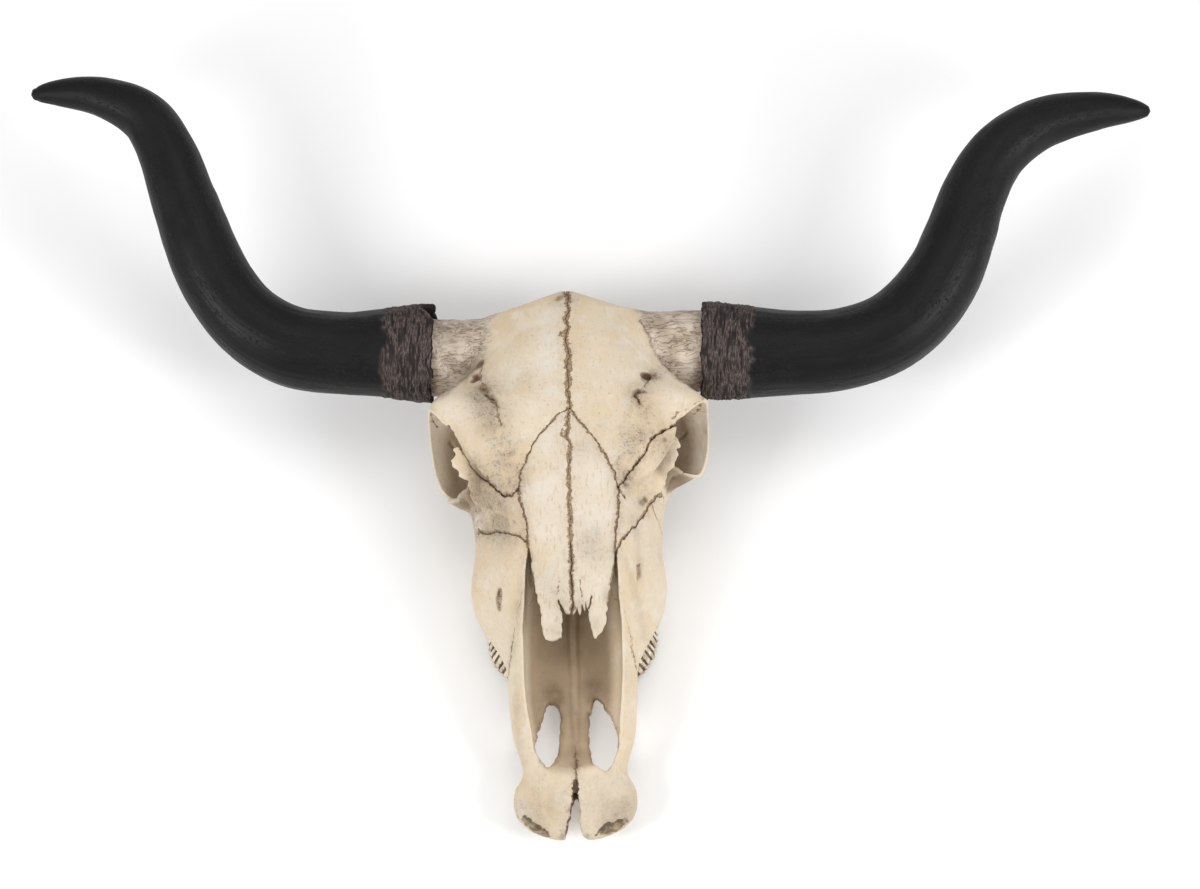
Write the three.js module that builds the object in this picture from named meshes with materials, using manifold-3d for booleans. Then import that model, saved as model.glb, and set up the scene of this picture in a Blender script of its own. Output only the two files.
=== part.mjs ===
// Longhorn steer skull, life size, lying on its cheek teeth with its face up.
//
// Millimetres, +Z up. The shapes are drawn in the skull's own frame: X across the skull, Y from the
// muzzle (low) to the poll (high), the midline at X = 0, the poll at Y = 0 and the floor at Z = 0.
// Left and right are the animal's own, so its left side is at +X. At the end the whole group moves
// so that the origin is under the middle of the finished skull.

import * as THREE from 'three';
import { mergeVertices } from 'three/addons/utils/BufferGeometryUtils.js';
import Module from 'manifold-3d';

const wasm = await Module();
wasm.setup();

// ---- Driving dimensions -------------------------------------------------------------------------

const SUTURE_GAP = 0.35;
const MIDLINE_HALF_GAP = 0.18;
const SKY = 320;

const POLL_HEIGHT = 135.5;
const NASAL_ROOT_Y = -124;
const NASAL_TIP_Y = -336;
const MUZZLE_TIP_Y = -503.5;

const CORE_ROOT_X = 88;
const CORE_RADIUS = 38;
const SHEATH_MOUTH_X = 129;
const CORE_CLEARANCE = 1.0;
const CORE_REACH = 0.38;

// The eye's socket points out, up and a little towards the muzzle.
const ORBIT_AXIS = new THREE.Vector3( 0.84, - 0.16, 0.52 ).normalize();

const PALATE_UNDERSIDE = 38;
const CAVITY_FLOOR = 50;

const HORN_SIDES = 12;
const HORN_STEPS = 16;
const CORE_STEPS = 6;

const BONE = { color: 0xdccbb0, roughness: 0.78, metalness: 0 };
const NASAL_BONE = { color: 0xe8dac6, roughness: 0.74, metalness: 0 };
const CORE_BONE = { color: 0xb9ab9a, roughness: 0.85, metalness: 0 };
const HORN = { color: 0x2c2c2e, roughness: 0.5, metalness: 0 };

// ---- Closed shapes ------------------------------------------------------------------------------

// The volume inside a closed geometry, negative where its faces point in.
function signedVolume( positions, index ) {

	const a = new THREE.Vector3();
	const b = new THREE.Vector3();
	const c = new THREE.Vector3();
	let sum = 0;
	for ( let i = 0; i < index.length; i += 3 ) {

		a.fromArray( positions, 3 * index[ i ] );
		b.fromArray( positions, 3 * index[ i + 1 ] );
		c.fromArray( positions, 3 * index[ i + 2 ] );
		sum += a.dot( b.cross( c ) );

	}

	return sum / 6;

}

function flipped( index ) {

	const turned = [];
	for ( let i = 0; i < index.length; i += 3 ) {

		turned.push( index[ i ], index[ i + 2 ], index[ i + 1 ] );

	}

	return turned;

}

// A closed skin over rings of points that all have the same count, its ends capped to their centres.
function skin( rings ) {

	const sides = rings[ 0 ].length;
	const positions = rings.flat().flatMap( ( point ) => point.toArray() );
	const index = [];
	for ( let r = 0; r < rings.length - 1; r ++ ) {

		const near = r * sides;
		const far = near + sides;
		for ( let n = 0; n < sides; n ++ ) {

			const next = ( n + 1 ) % sides;
			index.push( near + n, near + next, far + next );
			index.push( near + n, far + next, far + n );

		}

	}

	for ( const end of [ 0, rings.length - 1 ] ) {

		const middle = new THREE.Vector3();
		rings[ end ].forEach( ( point ) => middle.addScaledVector( point, 1 / sides ) );
		const hub = positions.length / 3;
		positions.push( ...middle.toArray() );
		for ( let n = 0; n < sides; n ++ ) {

			const here = end * sides + n;
			const next = end * sides + ( n + 1 ) % sides;
			if ( end === 0 ) index.push( hub, next, here );
			else index.push( hub, here, next );

		}

	}

	const outward = signedVolume( positions, index ) < 0 ? flipped( index ) : index;
	const geometry = new THREE.BufferGeometry();
	geometry.setAttribute( 'position', new THREE.Float32BufferAttribute( positions, 3 ) );
	geometry.setIndex( outward );
	return geometry;

}

// A three.js geometry as a solid that can be joined and cut.
function solid( geometry ) {

	const bare = geometry.clone();
	bare.deleteAttribute( 'normal' );
	bare.deleteAttribute( 'uv' );
	const merged = mergeVertices( bare, 1e-4 );
	const mesh = new wasm.Mesh( {
		numProp: 3,
		vertProperties: new Float32Array( merged.getAttribute( 'position' ).array ),
		triVerts: new Uint32Array( merged.getIndex().array ),
	} );
	return new wasm.Manifold( mesh );

}

function geometryOf( body ) {

	const mesh = body.getMesh();
	const geometry = new THREE.BufferGeometry();
	geometry.setAttribute( 'position', new THREE.Float32BufferAttribute( mesh.vertProperties, 3 ) );
	geometry.setIndex( Array.from( mesh.triVerts ) );
	return geometry;

}

function mirrored( geometry ) {

	const copy = geometry.clone();
	copy.scale( - 1, 1, 1 );
	copy.setIndex( flipped( Array.from( copy.getIndex().array ) ) );
	return copy;

}

function bothSides( geometry ) {

	return solid( geometry ).add( solid( mirrored( geometry ) ) );

}

function joined( bodies ) {

	return bodies.reduce( ( sum, body ) => sum.add( body ) );

}

function largestBody( body ) {

	const lumps = body.decompose();
	lumps.sort( ( a, b ) => b.volume() - a.volume() );
	return lumps[ 0 ];

}

// ---- Lofts, tubes and prisms --------------------------------------------------------------------

// Smooth rails run from station to station through like-numbered keys, and a closed smooth ring goes
// through the rails' points. A station gives its left half, from top to bottom, mirrored right.
function stationLoft( stations, pointsPerKey ) {

	const keyCount = stations[ 0 ].half.length;
	const rails = [];
	for ( let k = 0; k < keyCount; k ++ ) {

		rails.push( curveThrough( stations.map( ( s ) => [ s.half[ k ][ 0 ], s.y, s.half[ k ][ 1 ] ] ) ) );

	}

	const rings = [];
	const steps = stations.length - 1;
	for ( let i = 0; i <= steps; i ++ ) {

		const left = rails.map( ( rail ) => rail.getPoint( i / steps ) );
		const middleY = left[ 0 ].y;
		left.forEach( ( point ) => point.setY( middleY ) );
		const right = left.slice( 1, - 1 ).reverse().map( ( p ) => new THREE.Vector3( - p.x, p.y, p.z ) );
		const loop = new THREE.CatmullRomCurve3( [ ...left, ...right ], true, 'centripetal' );
		const count = ( left.length + right.length ) * pointsPerKey;
		rings.push( evenly( 0, 1, count ).slice( 0, count ).map( ( t ) => loop.getPoint( t ) ) );

	}

	return skin( rings );

}

function evenly( from, to, steps ) {

	return Array.from( { length: steps + 1 }, ( _, i ) => THREE.MathUtils.lerp( from, to, i / steps ) );

}

// A round bar along a curve, with a ring at each place from 0 to 1. flatten squashes its height.
function taperedBar( curve, radiusAt, places, sides, flatten = 1 ) {

	const up = new THREE.Vector3( 0, 0, 1 );
	const rings = [];
	for ( const t of places ) {

		const centre = curve.getPointAt( t );
		const along = curve.getTangentAt( t );
		const across = new THREE.Vector3().crossVectors( up, along ).normalize();
		const over = new THREE.Vector3().crossVectors( along, across );
		const radius = radiusAt( t );
		const ring = [];
		for ( let s = 0; s < sides; s ++ ) {

			const angle = 2 * Math.PI * s / sides;
			const point = centre.clone();
			point.addScaledVector( across, radius * Math.cos( angle ) );
			point.addScaledVector( over, radius * flatten * Math.sin( angle ) );
			ring.push( point );

		}

		rings.push( ring );

	}

	return skin( rings );

}

function curveThrough( points ) {

	const places = points.map( ( p ) => new THREE.Vector3( ...p ) );
	return new THREE.CatmullRomCurve3( places, false, 'centripetal' );

}

// A value read off a short list of [place, value] pairs, straight between them.
function graded( pairs, place ) {

	let low = 0;
	while ( low < pairs.length - 2 && place > pairs[ low + 1 ][ 0 ] ) low ++;
	const [ x0, y0 ] = pairs[ low ];
	const [ x1, y1 ] = pairs[ low + 1 ];
	return y0 + ( y1 - y0 ) * THREE.MathUtils.clamp( ( place - x0 ) / ( x1 - x0 ), 0, 1 );

}

function blob( x, y, z, radiusX, radiusY, radiusZ ) {

	const geometry = new THREE.SphereGeometry( 1, 8, 5 );
	geometry.scale( radiusX, radiusY, radiusZ );
	geometry.translate( x, y, z );
	return geometry;

}

// Moves each corner of a plan outline outward by the same amount.
function grownOutline( outline, amount ) {

	const area = THREE.ShapeUtils.area( outline );
	const side = Math.sign( area ) * amount;
	return outline.map( ( point, i ) => {

		const before = outline[ ( i + outline.length - 1 ) % outline.length ];
		const after = outline[ ( i + 1 ) % outline.length ];
		const inward = point.clone().sub( before ).normalize();
		const onward = after.clone().sub( point ).normalize();
		const normalIn = new THREE.Vector2( inward.y, - inward.x );
		const normalOut = new THREE.Vector2( onward.y, - onward.x );
		const mitre = normalIn.clone().add( normalOut ).normalize();
		const reach = side / Math.max( 0.5, mitre.dot( normalIn ) );
		return point.clone().addScaledVector( mitre, reach );

	} );

}

// An upright prism over a plan outline, from a floor that may slope along Y up to a ceiling.
function prism( outline, floorAt, ceilingAt = () => SKY ) {

	const upright = { depth: 1, bevelEnabled: false };
	const geometry = new THREE.ExtrudeGeometry( new THREE.Shape( outline ), upright );
	const position = geometry.getAttribute( 'position' );
	for ( let i = 0; i < position.count; i ++ ) {

		const y = position.getY( i );
		position.setZ( i, position.getZ( i ) > 0.5 ? ceilingAt( y ) : floorAt( y ) );

	}

	return solid( geometry );

}

function plan( points ) {

	return points.map( ( [ x, y ] ) => new THREE.Vector2( x, y ) );

}

// ---- Forehead, braincase and face as one mass ---------------------------------------------------

// One section of the forehead: a crowned plate with a rounded edge, thick where it roofs the brain.
function foreheadSection( y, halfWidth, crown, edge, thickness ) {

	return {
		y,
		half: [
			[ 0, crown ],
			[ halfWidth * 0.45, crown - 0.16 * ( crown - edge ) ],
			[ halfWidth * 0.8, crown - 0.55 * ( crown - edge ) ],
			[ halfWidth, edge ],
			[ halfWidth - 3, edge - 0.7 * thickness ],
			[ 0, edge - 1.3 * thickness ],
		],
	};

}

function buildForehead() {

	const sections = [
		foreheadSection( 2, 7, POLL_HEIGHT, 133, 14 ),
		foreheadSection( - 5, 33, 139, 128, 22 ),
		foreheadSection( - 13, 72, 143.5, 113, 26 ),
		foreheadSection( - 32, 80, 150.5, 118, 26 ),
		foreheadSection( - 57, 78, 158, 134, 18 ),
		foreheadSection( - 82, 92.5, 164, 140, 12 ),
		foreheadSection( - 108, 128.5, 169.8, 138, 13 ),
		foreheadSection( - 120, 120.5, 171.2, 142, 11 ),
		foreheadSection( - 142, 100, 171.5, 146, 11 ),
		foreheadSection( - 180, 82, 166.5, 147.5, 14 ),
		foreheadSection( - 206, 46, 161, 157, 10 ),
	];
	return solid( stationLoft( sections, 2 ) );

}

// One section of the face: crown, roof edge, shoulder, widest part of the cheek, tooth edge, palate.
function faceSection( y, crown, roof, shoulder, cheek, toothEdge ) {

	const palateEdge = [ toothEdge[ 0 ] * 0.6, PALATE_UNDERSIDE ];
	const palateMiddle = [ 0, PALATE_UNDERSIDE ];
	return { y, half: [ [ 0, crown ], roof, shoulder, cheek, toothEdge, palateEdge, palateMiddle ] };

}

function buildFace() {

	const sections = [
		faceSection( - 158, 166, [ 45, 160 ], [ 70, 138 ], [ 56, 98 ], [ 36, 52 ] ),
		faceSection( - 185, 163, [ 46.5, 157 ], [ 88, 126 ], [ 84, 92 ], [ 58, 42 ] ),
		faceSection( - 210, 159.5, [ 46, 154 ], [ 79, 122 ], [ 88, 83 ], [ 76, 32 ] ),
		faceSection( - 240, 154.5, [ 42, 150 ], [ 64, 125 ], [ 90, 71 ], [ 79, 27 ] ),
		faceSection( - 268, 149.5, [ 38, 145 ], [ 53, 127 ], [ 93.5, 60 ], [ 81, 26 ] ),
		faceSection( - 291, 145, [ 35, 141 ], [ 50.5, 120 ], [ 89.5, 56 ], [ 80, 26 ] ),
		faceSection( - 312, 140, [ 32, 136.5 ], [ 51, 110 ], [ 80, 52 ], [ 77, 28 ] ),
		faceSection( - 335, 135.5, [ 28, 132 ], [ 53, 96 ], [ 64.5, 60 ], [ 68, 30 ] ),
		faceSection( - 352, 124, [ 28, 118 ], [ 54, 88 ], [ 61.5, 62 ], [ 54, 36 ] ),
		faceSection( - 380, 96, [ 28, 92 ], [ 51, 79 ], [ 60.5, 58 ], [ 53, 37 ] ),
		faceSection( - 410, 76, [ 28, 74 ], [ 46, 68 ], [ 57.5, 53 ], [ 50, 37 ] ),
		faceSection( - 440, 58, [ 26, 57 ], [ 38, 55 ], [ 48, 46 ], [ 42, 36 ] ),
	];
	return solid( stationLoft( sections, 2 ) );

}

// The two flat lobes at the end of the muzzle, as one shield that the midline notch divides later.
function buildMuzzleShield() {

	const lobe = ( y, halfWidth, top, bottom ) => ( {
		y,
		half: [
			[ 0, top ],
			[ halfWidth * 0.68, top ],
			[ halfWidth, top - 0.45 * ( top - bottom ) ],
			[ halfWidth * 0.68, bottom ],
			[ 0, bottom ],
		],
	} );
	const sections = [
		lobe( - 430, 44, 58, 37 ),
		lobe( - 444, 48, 54, 33 ),
		lobe( - 457, 56.5, 51.5, 28 ),
		lobe( - 471, 58, 49, 25 ),
		lobe( - 484, 54, 46, 25 ),
		lobe( - 494, 44, 43, 27 ),
		lobe( - 500, 32, 41, 30 ),
		lobe( MUZZLE_TIP_Y, 20, 38.5, 32.5 ),
	];
	return solid( stationLoft( sections, 2 ) );

}

function buildBraincase() {

	const oval = ( y, halfWidth, top, bottom ) => ( {
		y,
		half: [
			[ 0, top ],
			[ halfWidth * 0.75, top - 0.1 * ( top - bottom ) ],
			[ halfWidth, top - 0.45 * ( top - bottom ) ],
			[ halfWidth * 0.8, bottom + 0.15 * ( top - bottom ) ],
			[ 0, bottom ],
		],
	} );
	const sections = [
		oval( - 3, 52, 124, 44 ),
		oval( - 14, 76, 128, 36 ),
		oval( - 38, 66, 138, 34 ),
		oval( - 70, 56, 146, 34 ),
		oval( - 100, 50, 150, 38 ),
		oval( - 160, 46, 158, 52 ),
	];
	return solid( stationLoft( sections, 1 ) );

}

// The rim of the eye's socket, a closed loop through eight places on its edge.
const orbitRim = new THREE.CatmullRomCurve3( [
	[ 128, - 112, 136 ],
	[ 131, - 122, 108 ],
	[ 129.5, - 150, 95 ],
	[ 120, - 176, 90 ],
	[ 101, - 184, 96 ],
	[ 93, - 166, 122 ],
	[ 96, - 145, 144 ],
	[ 112, - 124, 144 ],
].map( ( p ) => new THREE.Vector3( ...p ) ), true, 'centripetal' );

// A cup whose rings follow the rim. Each ring is [size against the rim, depth below its centre].
function orbitCup( rings, sides ) {

	const centre = new THREE.Vector3();
	const corners = orbitRim.getPoints( sides ).slice( 0, sides );
	corners.forEach( ( corner ) => centre.addScaledVector( corner, 1 / sides ) );
	return skin( rings.map( ( [ size, depth ] ) => corners.map( ( corner ) => {

		const point = centre.clone().lerp( corner, size );
		return point.addScaledVector( ORBIT_AXIS, - depth );

	} ) ) );

}

function buildOrbitWall() {

	return orbitCup( [ [ 0.4, 56 ], [ 0.85, 36 ], [ 1.08, 14 ], [ 1.06, - 3 ] ], 12 );

}

function buildOrbitHollow() {

	return orbitCup( [ [ 0.3, 46 ], [ 0.7, 32 ], [ 0.92, 10 ], [ 1, - 30 ] ], 12 );

}

function buildCheekArch() {

	const path = curveThrough( [
		[ 56, - 50, 76 ],
		[ 84, - 54, 80 ],
		[ 104, - 70, 84 ],
		[ 116, - 98, 88 ],
		[ 123, - 130, 92 ],
	] );
	const radii = [ [ 0, 13 ], [ 0.35, 8 ], [ 1, 7 ] ];
	return taperedBar( path, ( t ) => graded( radii, t ), evenly( 0, 1, 5 ), 6, 1.15 );

}

// The crest that runs from the socket's lower rim down onto the cheek.
function buildFacialCrest() {

	const path = curveThrough( [
		[ 108, - 172, 94 ],
		[ 94, - 187, 90 ],
		[ 81, - 206, 82 ],
		[ 77, - 236, 70 ],
	] );
	const radii = [ [ 0, 9 ], [ 0.5, 11 ], [ 1, 8 ] ];
	return taperedBar( path, ( t ) => graded( radii, t ), evenly( 0, 1, 4 ), 6 );

}

// ---- Back and underside of the skull ------------------------------------------------------------

function buildOccipitalProcesses() {

	const condyles = bothSides( blob( 27, 0, 36, 16, 15, 19 ) );
	const path = curveThrough( [ [ 52, - 24, 70 ], [ 58, - 26, 45 ], [ 60, - 27, 20 ], [ 57, - 27, - 6 ] ] );
	const steps = 4;
	const sides = 7;
	const rings = evenly( 0, 1, steps ).map( ( t ) => {

		const centre = path.getPointAt( t );
		const width = THREE.MathUtils.lerp( 13, 7, t );
		const depth = THREE.MathUtils.lerp( 15, 8, t );
		return evenly( 0, 2 * Math.PI, sides ).slice( 0, sides ).map( ( angle ) => {

			const out = new THREE.Vector3( width * Math.cos( angle ), depth * Math.sin( angle ), 0 );
			return centre.clone().add( out );

		} );

	} );

	const processes = bothSides( skin( rings ) );
	return condyles.add( processes );

}

function buildBase() {

	const bar = curveThrough( [ [ 0, - 6, 42 ], [ 0, - 60, 40 ], [ 0, - 120, 48 ], [ 0, - 160, 58 ] ] );
	const baseBar = solid( taperedBar( bar, ( t ) => 20 - 6 * t, evenly( 0, 1, 4 ), 7, 0.7 ) );
	const bullae = bothSides( blob( 38, - 60, 30, 11, 17, 17 ) );
	const pterygoid = curveThrough( [ [ 30, - 140, 66 ], [ 25, - 168, 46 ], [ 24, - 205, 42 ] ] );
	const wings = bothSides( taperedBar( pterygoid, () => 7, evenly( 0, 1, 3 ), 6, 1.9 ) );
	return joined( [ baseBar, bullae, wings ] );

}

// ---- Cheek teeth --------------------------------------------------------------------------------

// Three premolars and three molars, from the front of the row to its back, joined to the jaw.
function buildToothRow() {

	const crowns = [
		{ length: 15, width: 13, x: 63, wear: 7 },
		{ length: 17, width: 17, x: 67, wear: 4 },
		{ length: 18, width: 19, x: 69, wear: 2 },
		{ length: 24, width: 21, x: 68.5, wear: 0 },
		{ length: 28, width: 22, x: 68, wear: 0 },
		{ length: 28, width: 21, x: 65.5, wear: 0 },
	];
	const rowStart = - 349;
	const crownTop = 44;
	const bodies = [];
	let front = rowStart;
	for ( const crown of crowns ) {

		const lobes = crown.length > 20 ? 2 : 1;
		const outline = [];
		const samples = 2 * lobes;
		for ( let i = 0; i <= samples; i ++ ) {

			const along = i / samples;
			const bulge = 1 - 0.2 * Math.abs( Math.cos( Math.PI * lobes * along ) );
			outline.push( [ crown.x + 0.5 * crown.width * bulge, front + crown.length * along ] );

		}

		outline.push( [ crown.x - 0.5 * crown.width, front + crown.length * 0.9 ] );
		outline.push( [ crown.x - 0.5 * crown.width, front + crown.length * 0.1 ] );
		bodies.push( prism( plan( outline ), () => crown.wear, () => crownTop ) );
		front += crown.length;

	}

	return joined( bodies );

}

// ---- Horns --------------------------------------------------------------------------------------

// Each horn leaves the skull sideways, sweeps up towards the poll's side and turns out at the tip.
// The stations give the centre line and radius; left and right differ as they do on the animal.
const HORNS = {
	left: {
		side: 1,
		stations: [
			[ 60, - 47, 97, 39 ],
			[ SHEATH_MOUTH_X, - 46, 98, 46 ],
			[ 174, - 49, 99, 43.6 ],
			[ 217, - 51, 101, 40.6 ],
			[ 260, - 50.5, 106, 39 ],
			[ 300, - 40, 112, 38.4 ],
			[ 329, - 21.5, 118, 37.8 ],
			[ 358.5, 14, 128, 36 ],
			[ 376.5, 53, 138, 33.6 ],
			[ 391, 89, 146, 31.4 ],
			[ 414.5, 127, 154, 28.2 ],
			[ 453, 153.5, 160, 25 ],
			[ 510, 165, 165, 18.4 ],
			[ 542, 164, 167.5, 11.8 ],
			[ 557, 162.5, 168, 6 ],
			[ 561.5, 162, 168, 1 ],
		],
	},
	right: {
		side: - 1,
		stations: [
			[ - 60, - 47, 97, 39 ],
			[ - SHEATH_MOUTH_X, - 42.5, 98, 46 ],
			[ - 175, - 41.5, 99, 42.6 ],
			[ - 217, - 41.5, 102, 39.6 ],
			[ - 268, - 34, 108, 38.2 ],
			[ - 305, - 11.5, 116, 36.2 ],
			[ - 328.5, 17, 124, 35.2 ],
			[ - 344, 46, 132, 34.4 ],
			[ - 362.5, 97, 144, 31.6 ],
			[ - 379.5, 147, 154, 28.2 ],
			[ - 402, 183, 160, 24.4 ],
			[ - 443, 202.5, 165, 19.2 ],
			[ - 484, 206.5, 167, 12.6 ],
			[ - 504, 205, 168, 6.5 ],
			[ - 509.5, 204.5, 168, 1 ],
		],
	},
};

function hornLine( horn ) {

	const curve = curveThrough( horn.stations.map( ( s ) => s.slice( 0, 3 ) ) );
	curve.arcLengthDivisions = 400;
	const lengths = curve.getLengths( 400 );
	const total = lengths[ 400 ];
	const last = horn.stations.length - 1;
	const radii = horn.stations.map( ( station, i ) => {

		const reached = lengths[ Math.round( 400 * i / last ) ];
		return [ reached / total, station[ 3 ] ];

	} );
	return { curve, radiusAt: ( t ) => graded( radii, t ), mouth: radii[ 1 ][ 0 ] };

}

// The bony core narrows to a blunt tip inside the sheath.
function coreRadius( t, mouth ) {

	const inside = THREE.MathUtils.clamp( ( t - mouth ) / CORE_REACH, 0, 1 );
	return ( CORE_RADIUS + 0.4 ) * Math.sqrt( 1 - 0.93 * inside ** 1.4 );

}

function buildCoreBar( horn ) {

	const { curve, mouth } = hornLine( horn );
	const places = evenly( 0, mouth + CORE_REACH, CORE_STEPS );
	return solid( taperedBar( curve, ( t ) => coreRadius( t, mouth ), places, HORN_SIDES ) );

}

// The bore has the core's own rings, each a little wider, and ends a little deeper than the core.
function buildSheath( horn ) {

	const { curve, radiusAt, mouth } = hornLine( horn );
	const outside = solid( taperedBar( curve, radiusAt, evenly( mouth, 1, HORN_STEPS ), HORN_SIDES ) );
	const places = evenly( 0, mouth + CORE_REACH, CORE_STEPS );
	places[ CORE_STEPS ] += 0.006;
	const boreRadius = ( t ) => coreRadius( t, mouth ) + CORE_CLEARANCE;
	return outside.subtract( solid( taperedBar( curve, boreRadius, places, HORN_SIDES ) ) );

}

// The root of a core, the part that belongs to the forehead. extra widens it.
function hornRoot( side, extra = 0 ) {

	const ends = [ CORE_ROOT_X - 36, CORE_ROOT_X + extra ];
	const path = curveThrough( ends.map( ( x ) => [ x * side, - 47, 97.5 ] ) );
	return solid( taperedBar( path, () => CORE_RADIUS + 0.6 + extra, [ 0, 1 ], HORN_SIDES ) );

}

// ---- Openings -----------------------------------------------------------------------------------

const nasalOutline = [
	[ MIDLINE_HALF_GAP, NASAL_ROOT_Y ],
	[ 14, - 139 ],
	[ 28, - 157 ],
	[ 39, - 174 ],
	[ 45, - 190 ],
	[ 46.5, - 202 ],
	[ 43.5, - 216 ],
	[ 40.5, - 236 ],
	[ 40, - 264 ],
	[ 36, - 284 ],
	[ 32, - 308 ],
	[ 28.5, - 328 ],
	[ 22, NASAL_TIP_Y ],
	[ 14.5, - 333 ],
	[ 16, - 300 ],
	[ 11, - 306 ],
	[ 6, - 313 ],
	[ MIDLINE_HALF_GAP, - 314 ],
];

function nasalUnderside( y ) {

	return 158 + 0.167 * ( y - NASAL_ROOT_Y );

}

function mirroredPlan( points ) {

	return points.map( ( [ x, y ] ) => [ - x, y ] ).reverse();

}

function buildNasalCavity() {

	const hollow = ( y, halfWidth, top, bottom ) => ( {
		y,
		half: [
			[ 0, top ],
			[ halfWidth * 0.7, top - 1 ],
			[ halfWidth, top - 0.3 * ( top - bottom ) ],
			[ halfWidth * 0.96, bottom + 0.15 * ( top - bottom ) ],
			[ halfWidth * 0.75, bottom ],
			[ 0, bottom ],
		],
	} );
	const sections = [
		hollow( - 192, 16, 128, 90 ),
		hollow( - 206, 28, 145, 62 ),
		hollow( - 250, 36, 144, CAVITY_FLOOR ),
		hollow( - 290, 37, 137, CAVITY_FLOOR ),
	];
	const inside = solid( stationLoft( sections, 1 ) );

	const leftEdge = [
		[ 37, - 257 ],
		[ 43, - 292 ],
		[ 45.5, - 334 ],
		[ 44, - 379 ],
		[ 38.5, - 414 ],
		[ 32, - 438 ],
		[ 16, - 446 ],
	];
	const mouth = prism( plan( [ ...leftEdge, ...mirroredPlan( leftEdge ) ] ), () => CAVITY_FLOOR );
	const leftOutline = plan( nasalOutline );
	const rightOutline = plan( mirroredPlan( nasalOutline ) );
	const leftNasal = prism( grownOutline( leftOutline, SUTURE_GAP ), nasalUnderside );
	const rightNasal = prism( grownOutline( rightOutline, SUTURE_GAP ), nasalUnderside );
	return inside.add( mouth.subtract( leftNasal ).subtract( rightNasal ) );

}

function buildPalatineFissures() {

	const corners = 12;
	const ellipse = new THREE.EllipseCurve( 26.5, - 407, 11.5, 33, 0, 2 * Math.PI, false, 0.06 );
	const leftOutline = ellipse.getPoints( corners ).slice( 0, corners );
	const rightOutline = leftOutline.map( ( p ) => new THREE.Vector2( - p.x, p.y ) ).reverse();
	const left = prism( leftOutline, () => 0, () => 70 );
	const right = prism( rightOutline, () => 0, () => 70 );
	return left.add( right );

}

function buildMuzzleNotch() {

	const leftEdge = [ [ 0.8, - 448 ], [ 2.2, - 464 ], [ 4.2, - 480 ], [ 7, - 494 ], [ 15, - 512 ] ];
	return prism( plan( [ ...leftEdge, ...mirroredPlan( leftEdge ) ] ), () => 0, () => 90 );

}

function buildRearOpenings() {

	const spinalHole = new THREE.CylinderGeometry( 17, 15, 40, 10 );
	spinalHole.translate( 0, 0, 54 );
	const choanae = bothSides( blob( 13.5, - 178, 48, 9, 34, 17 ) );
	return solid( spinalHole ).add( choanae );

}

// ---- Bones: the mass parted along its sutures ----------------------------------------------------

function foreheadUnderside( y ) {

	return 104 - 0.14 * y;

}

const frontoLacrimal = [ [ 97.5, - 146 ], [ 91, - 161 ], [ 79, - 176 ], [ 66, - 190 ], [ 57, - 197 ] ];
const lacrimoMaxillary = [ [ 43, - 247 ], [ 56, - 238 ], [ 66, - 228 ], [ 79, - 218 ] ];

const TERRITORIES = [
	{
		name: 'nasal',
		look: NASAL_BONE,
		outline: nasalOutline,
		floor: nasalUnderside,
	},
	{
		name: 'frontal',
		look: BONE,
		outline: [
			[ MIDLINE_HALF_GAP, 20 ],
			[ 150, 20 ],
			[ 150, - 122 ],
			[ 116, - 130 ],
			...frontoLacrimal,
			[ 46.5, - 202 ],
			[ 45, - 190 ],
			[ 39, - 174 ],
			[ 28, - 157 ],
			[ 14, - 139 ],
			[ MIDLINE_HALF_GAP, NASAL_ROOT_Y ],
		],
		floor: foreheadUnderside,
		hasHornRoot: true,
	},
	{
		name: 'lacrimal',
		look: BONE,
		outline: [
			[ 116, - 130 ],
			...frontoLacrimal,
			[ 46.5, - 202 ],
			[ 43.5, - 216 ],
			[ 40.5, - 236 ],
			...lacrimoMaxillary,
			[ 88, - 208 ],
			[ 97, - 190 ],
			[ 101, - 172 ],
			[ 108, - 158 ],
			[ 112, - 140 ],
		],
		floor: () => 100,
	},
	{
		name: 'zygomatic',
		look: BONE,
		outline: [
			[ 72, - 150 ],
			[ 72, - 190 ],
			[ 79, - 218 ],
			[ 92, - 222 ],
			[ 150, - 200 ],
			[ 150, - 84 ],
			[ 92, - 84 ],
			[ 80, - 120 ],
		],
		floor: () => 58,
	},
	{
		name: 'premaxilla',
		look: BONE,
		outline: [
			[ MIDLINE_HALF_GAP, - 530 ],
			[ 90, - 530 ],
			[ 80, - 362 ],
			[ 57, - 352 ],
			[ 53, - 300 ],
			[ 30, - 286 ],
			[ 40, - 348 ],
			[ MIDLINE_HALF_GAP, - 366 ],
		],
		floor: () => - 10,
	},
	{
		name: 'temporal',
		look: BONE,
		outline: [ [ 30, - 36 ], [ 150, - 36 ], [ 150, - 84 ], [ 92, - 84 ], [ 80, - 120 ], [ 30, - 120 ] ],
		floor: () => - 10,
	},
	{
		name: 'palatine',
		look: BONE,
		outline: [
			[ MIDLINE_HALF_GAP, - 158 ],
			[ 42, - 158 ],
			[ 44, - 205 ],
			[ 30, - 232 ],
			[ MIDLINE_HALF_GAP, - 238 ],
		],
		floor: () => - 10,
		ceiling: () => 62,
	},
	{
		name: 'maxilla',
		look: BONE,
		outline: [ [ MIDLINE_HALF_GAP, - 190 ], [ 150, - 190 ], [ 150, - 420 ], [ MIDLINE_HALF_GAP, - 420 ] ],
		floor: () => - 10,
	},
];

const group = new THREE.Group();

function addBone( name, geometry, look ) {

	const mesh = new THREE.Mesh( geometry, new THREE.MeshStandardMaterial( look ) );
	mesh.name = name;
	group.add( mesh );

}

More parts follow.
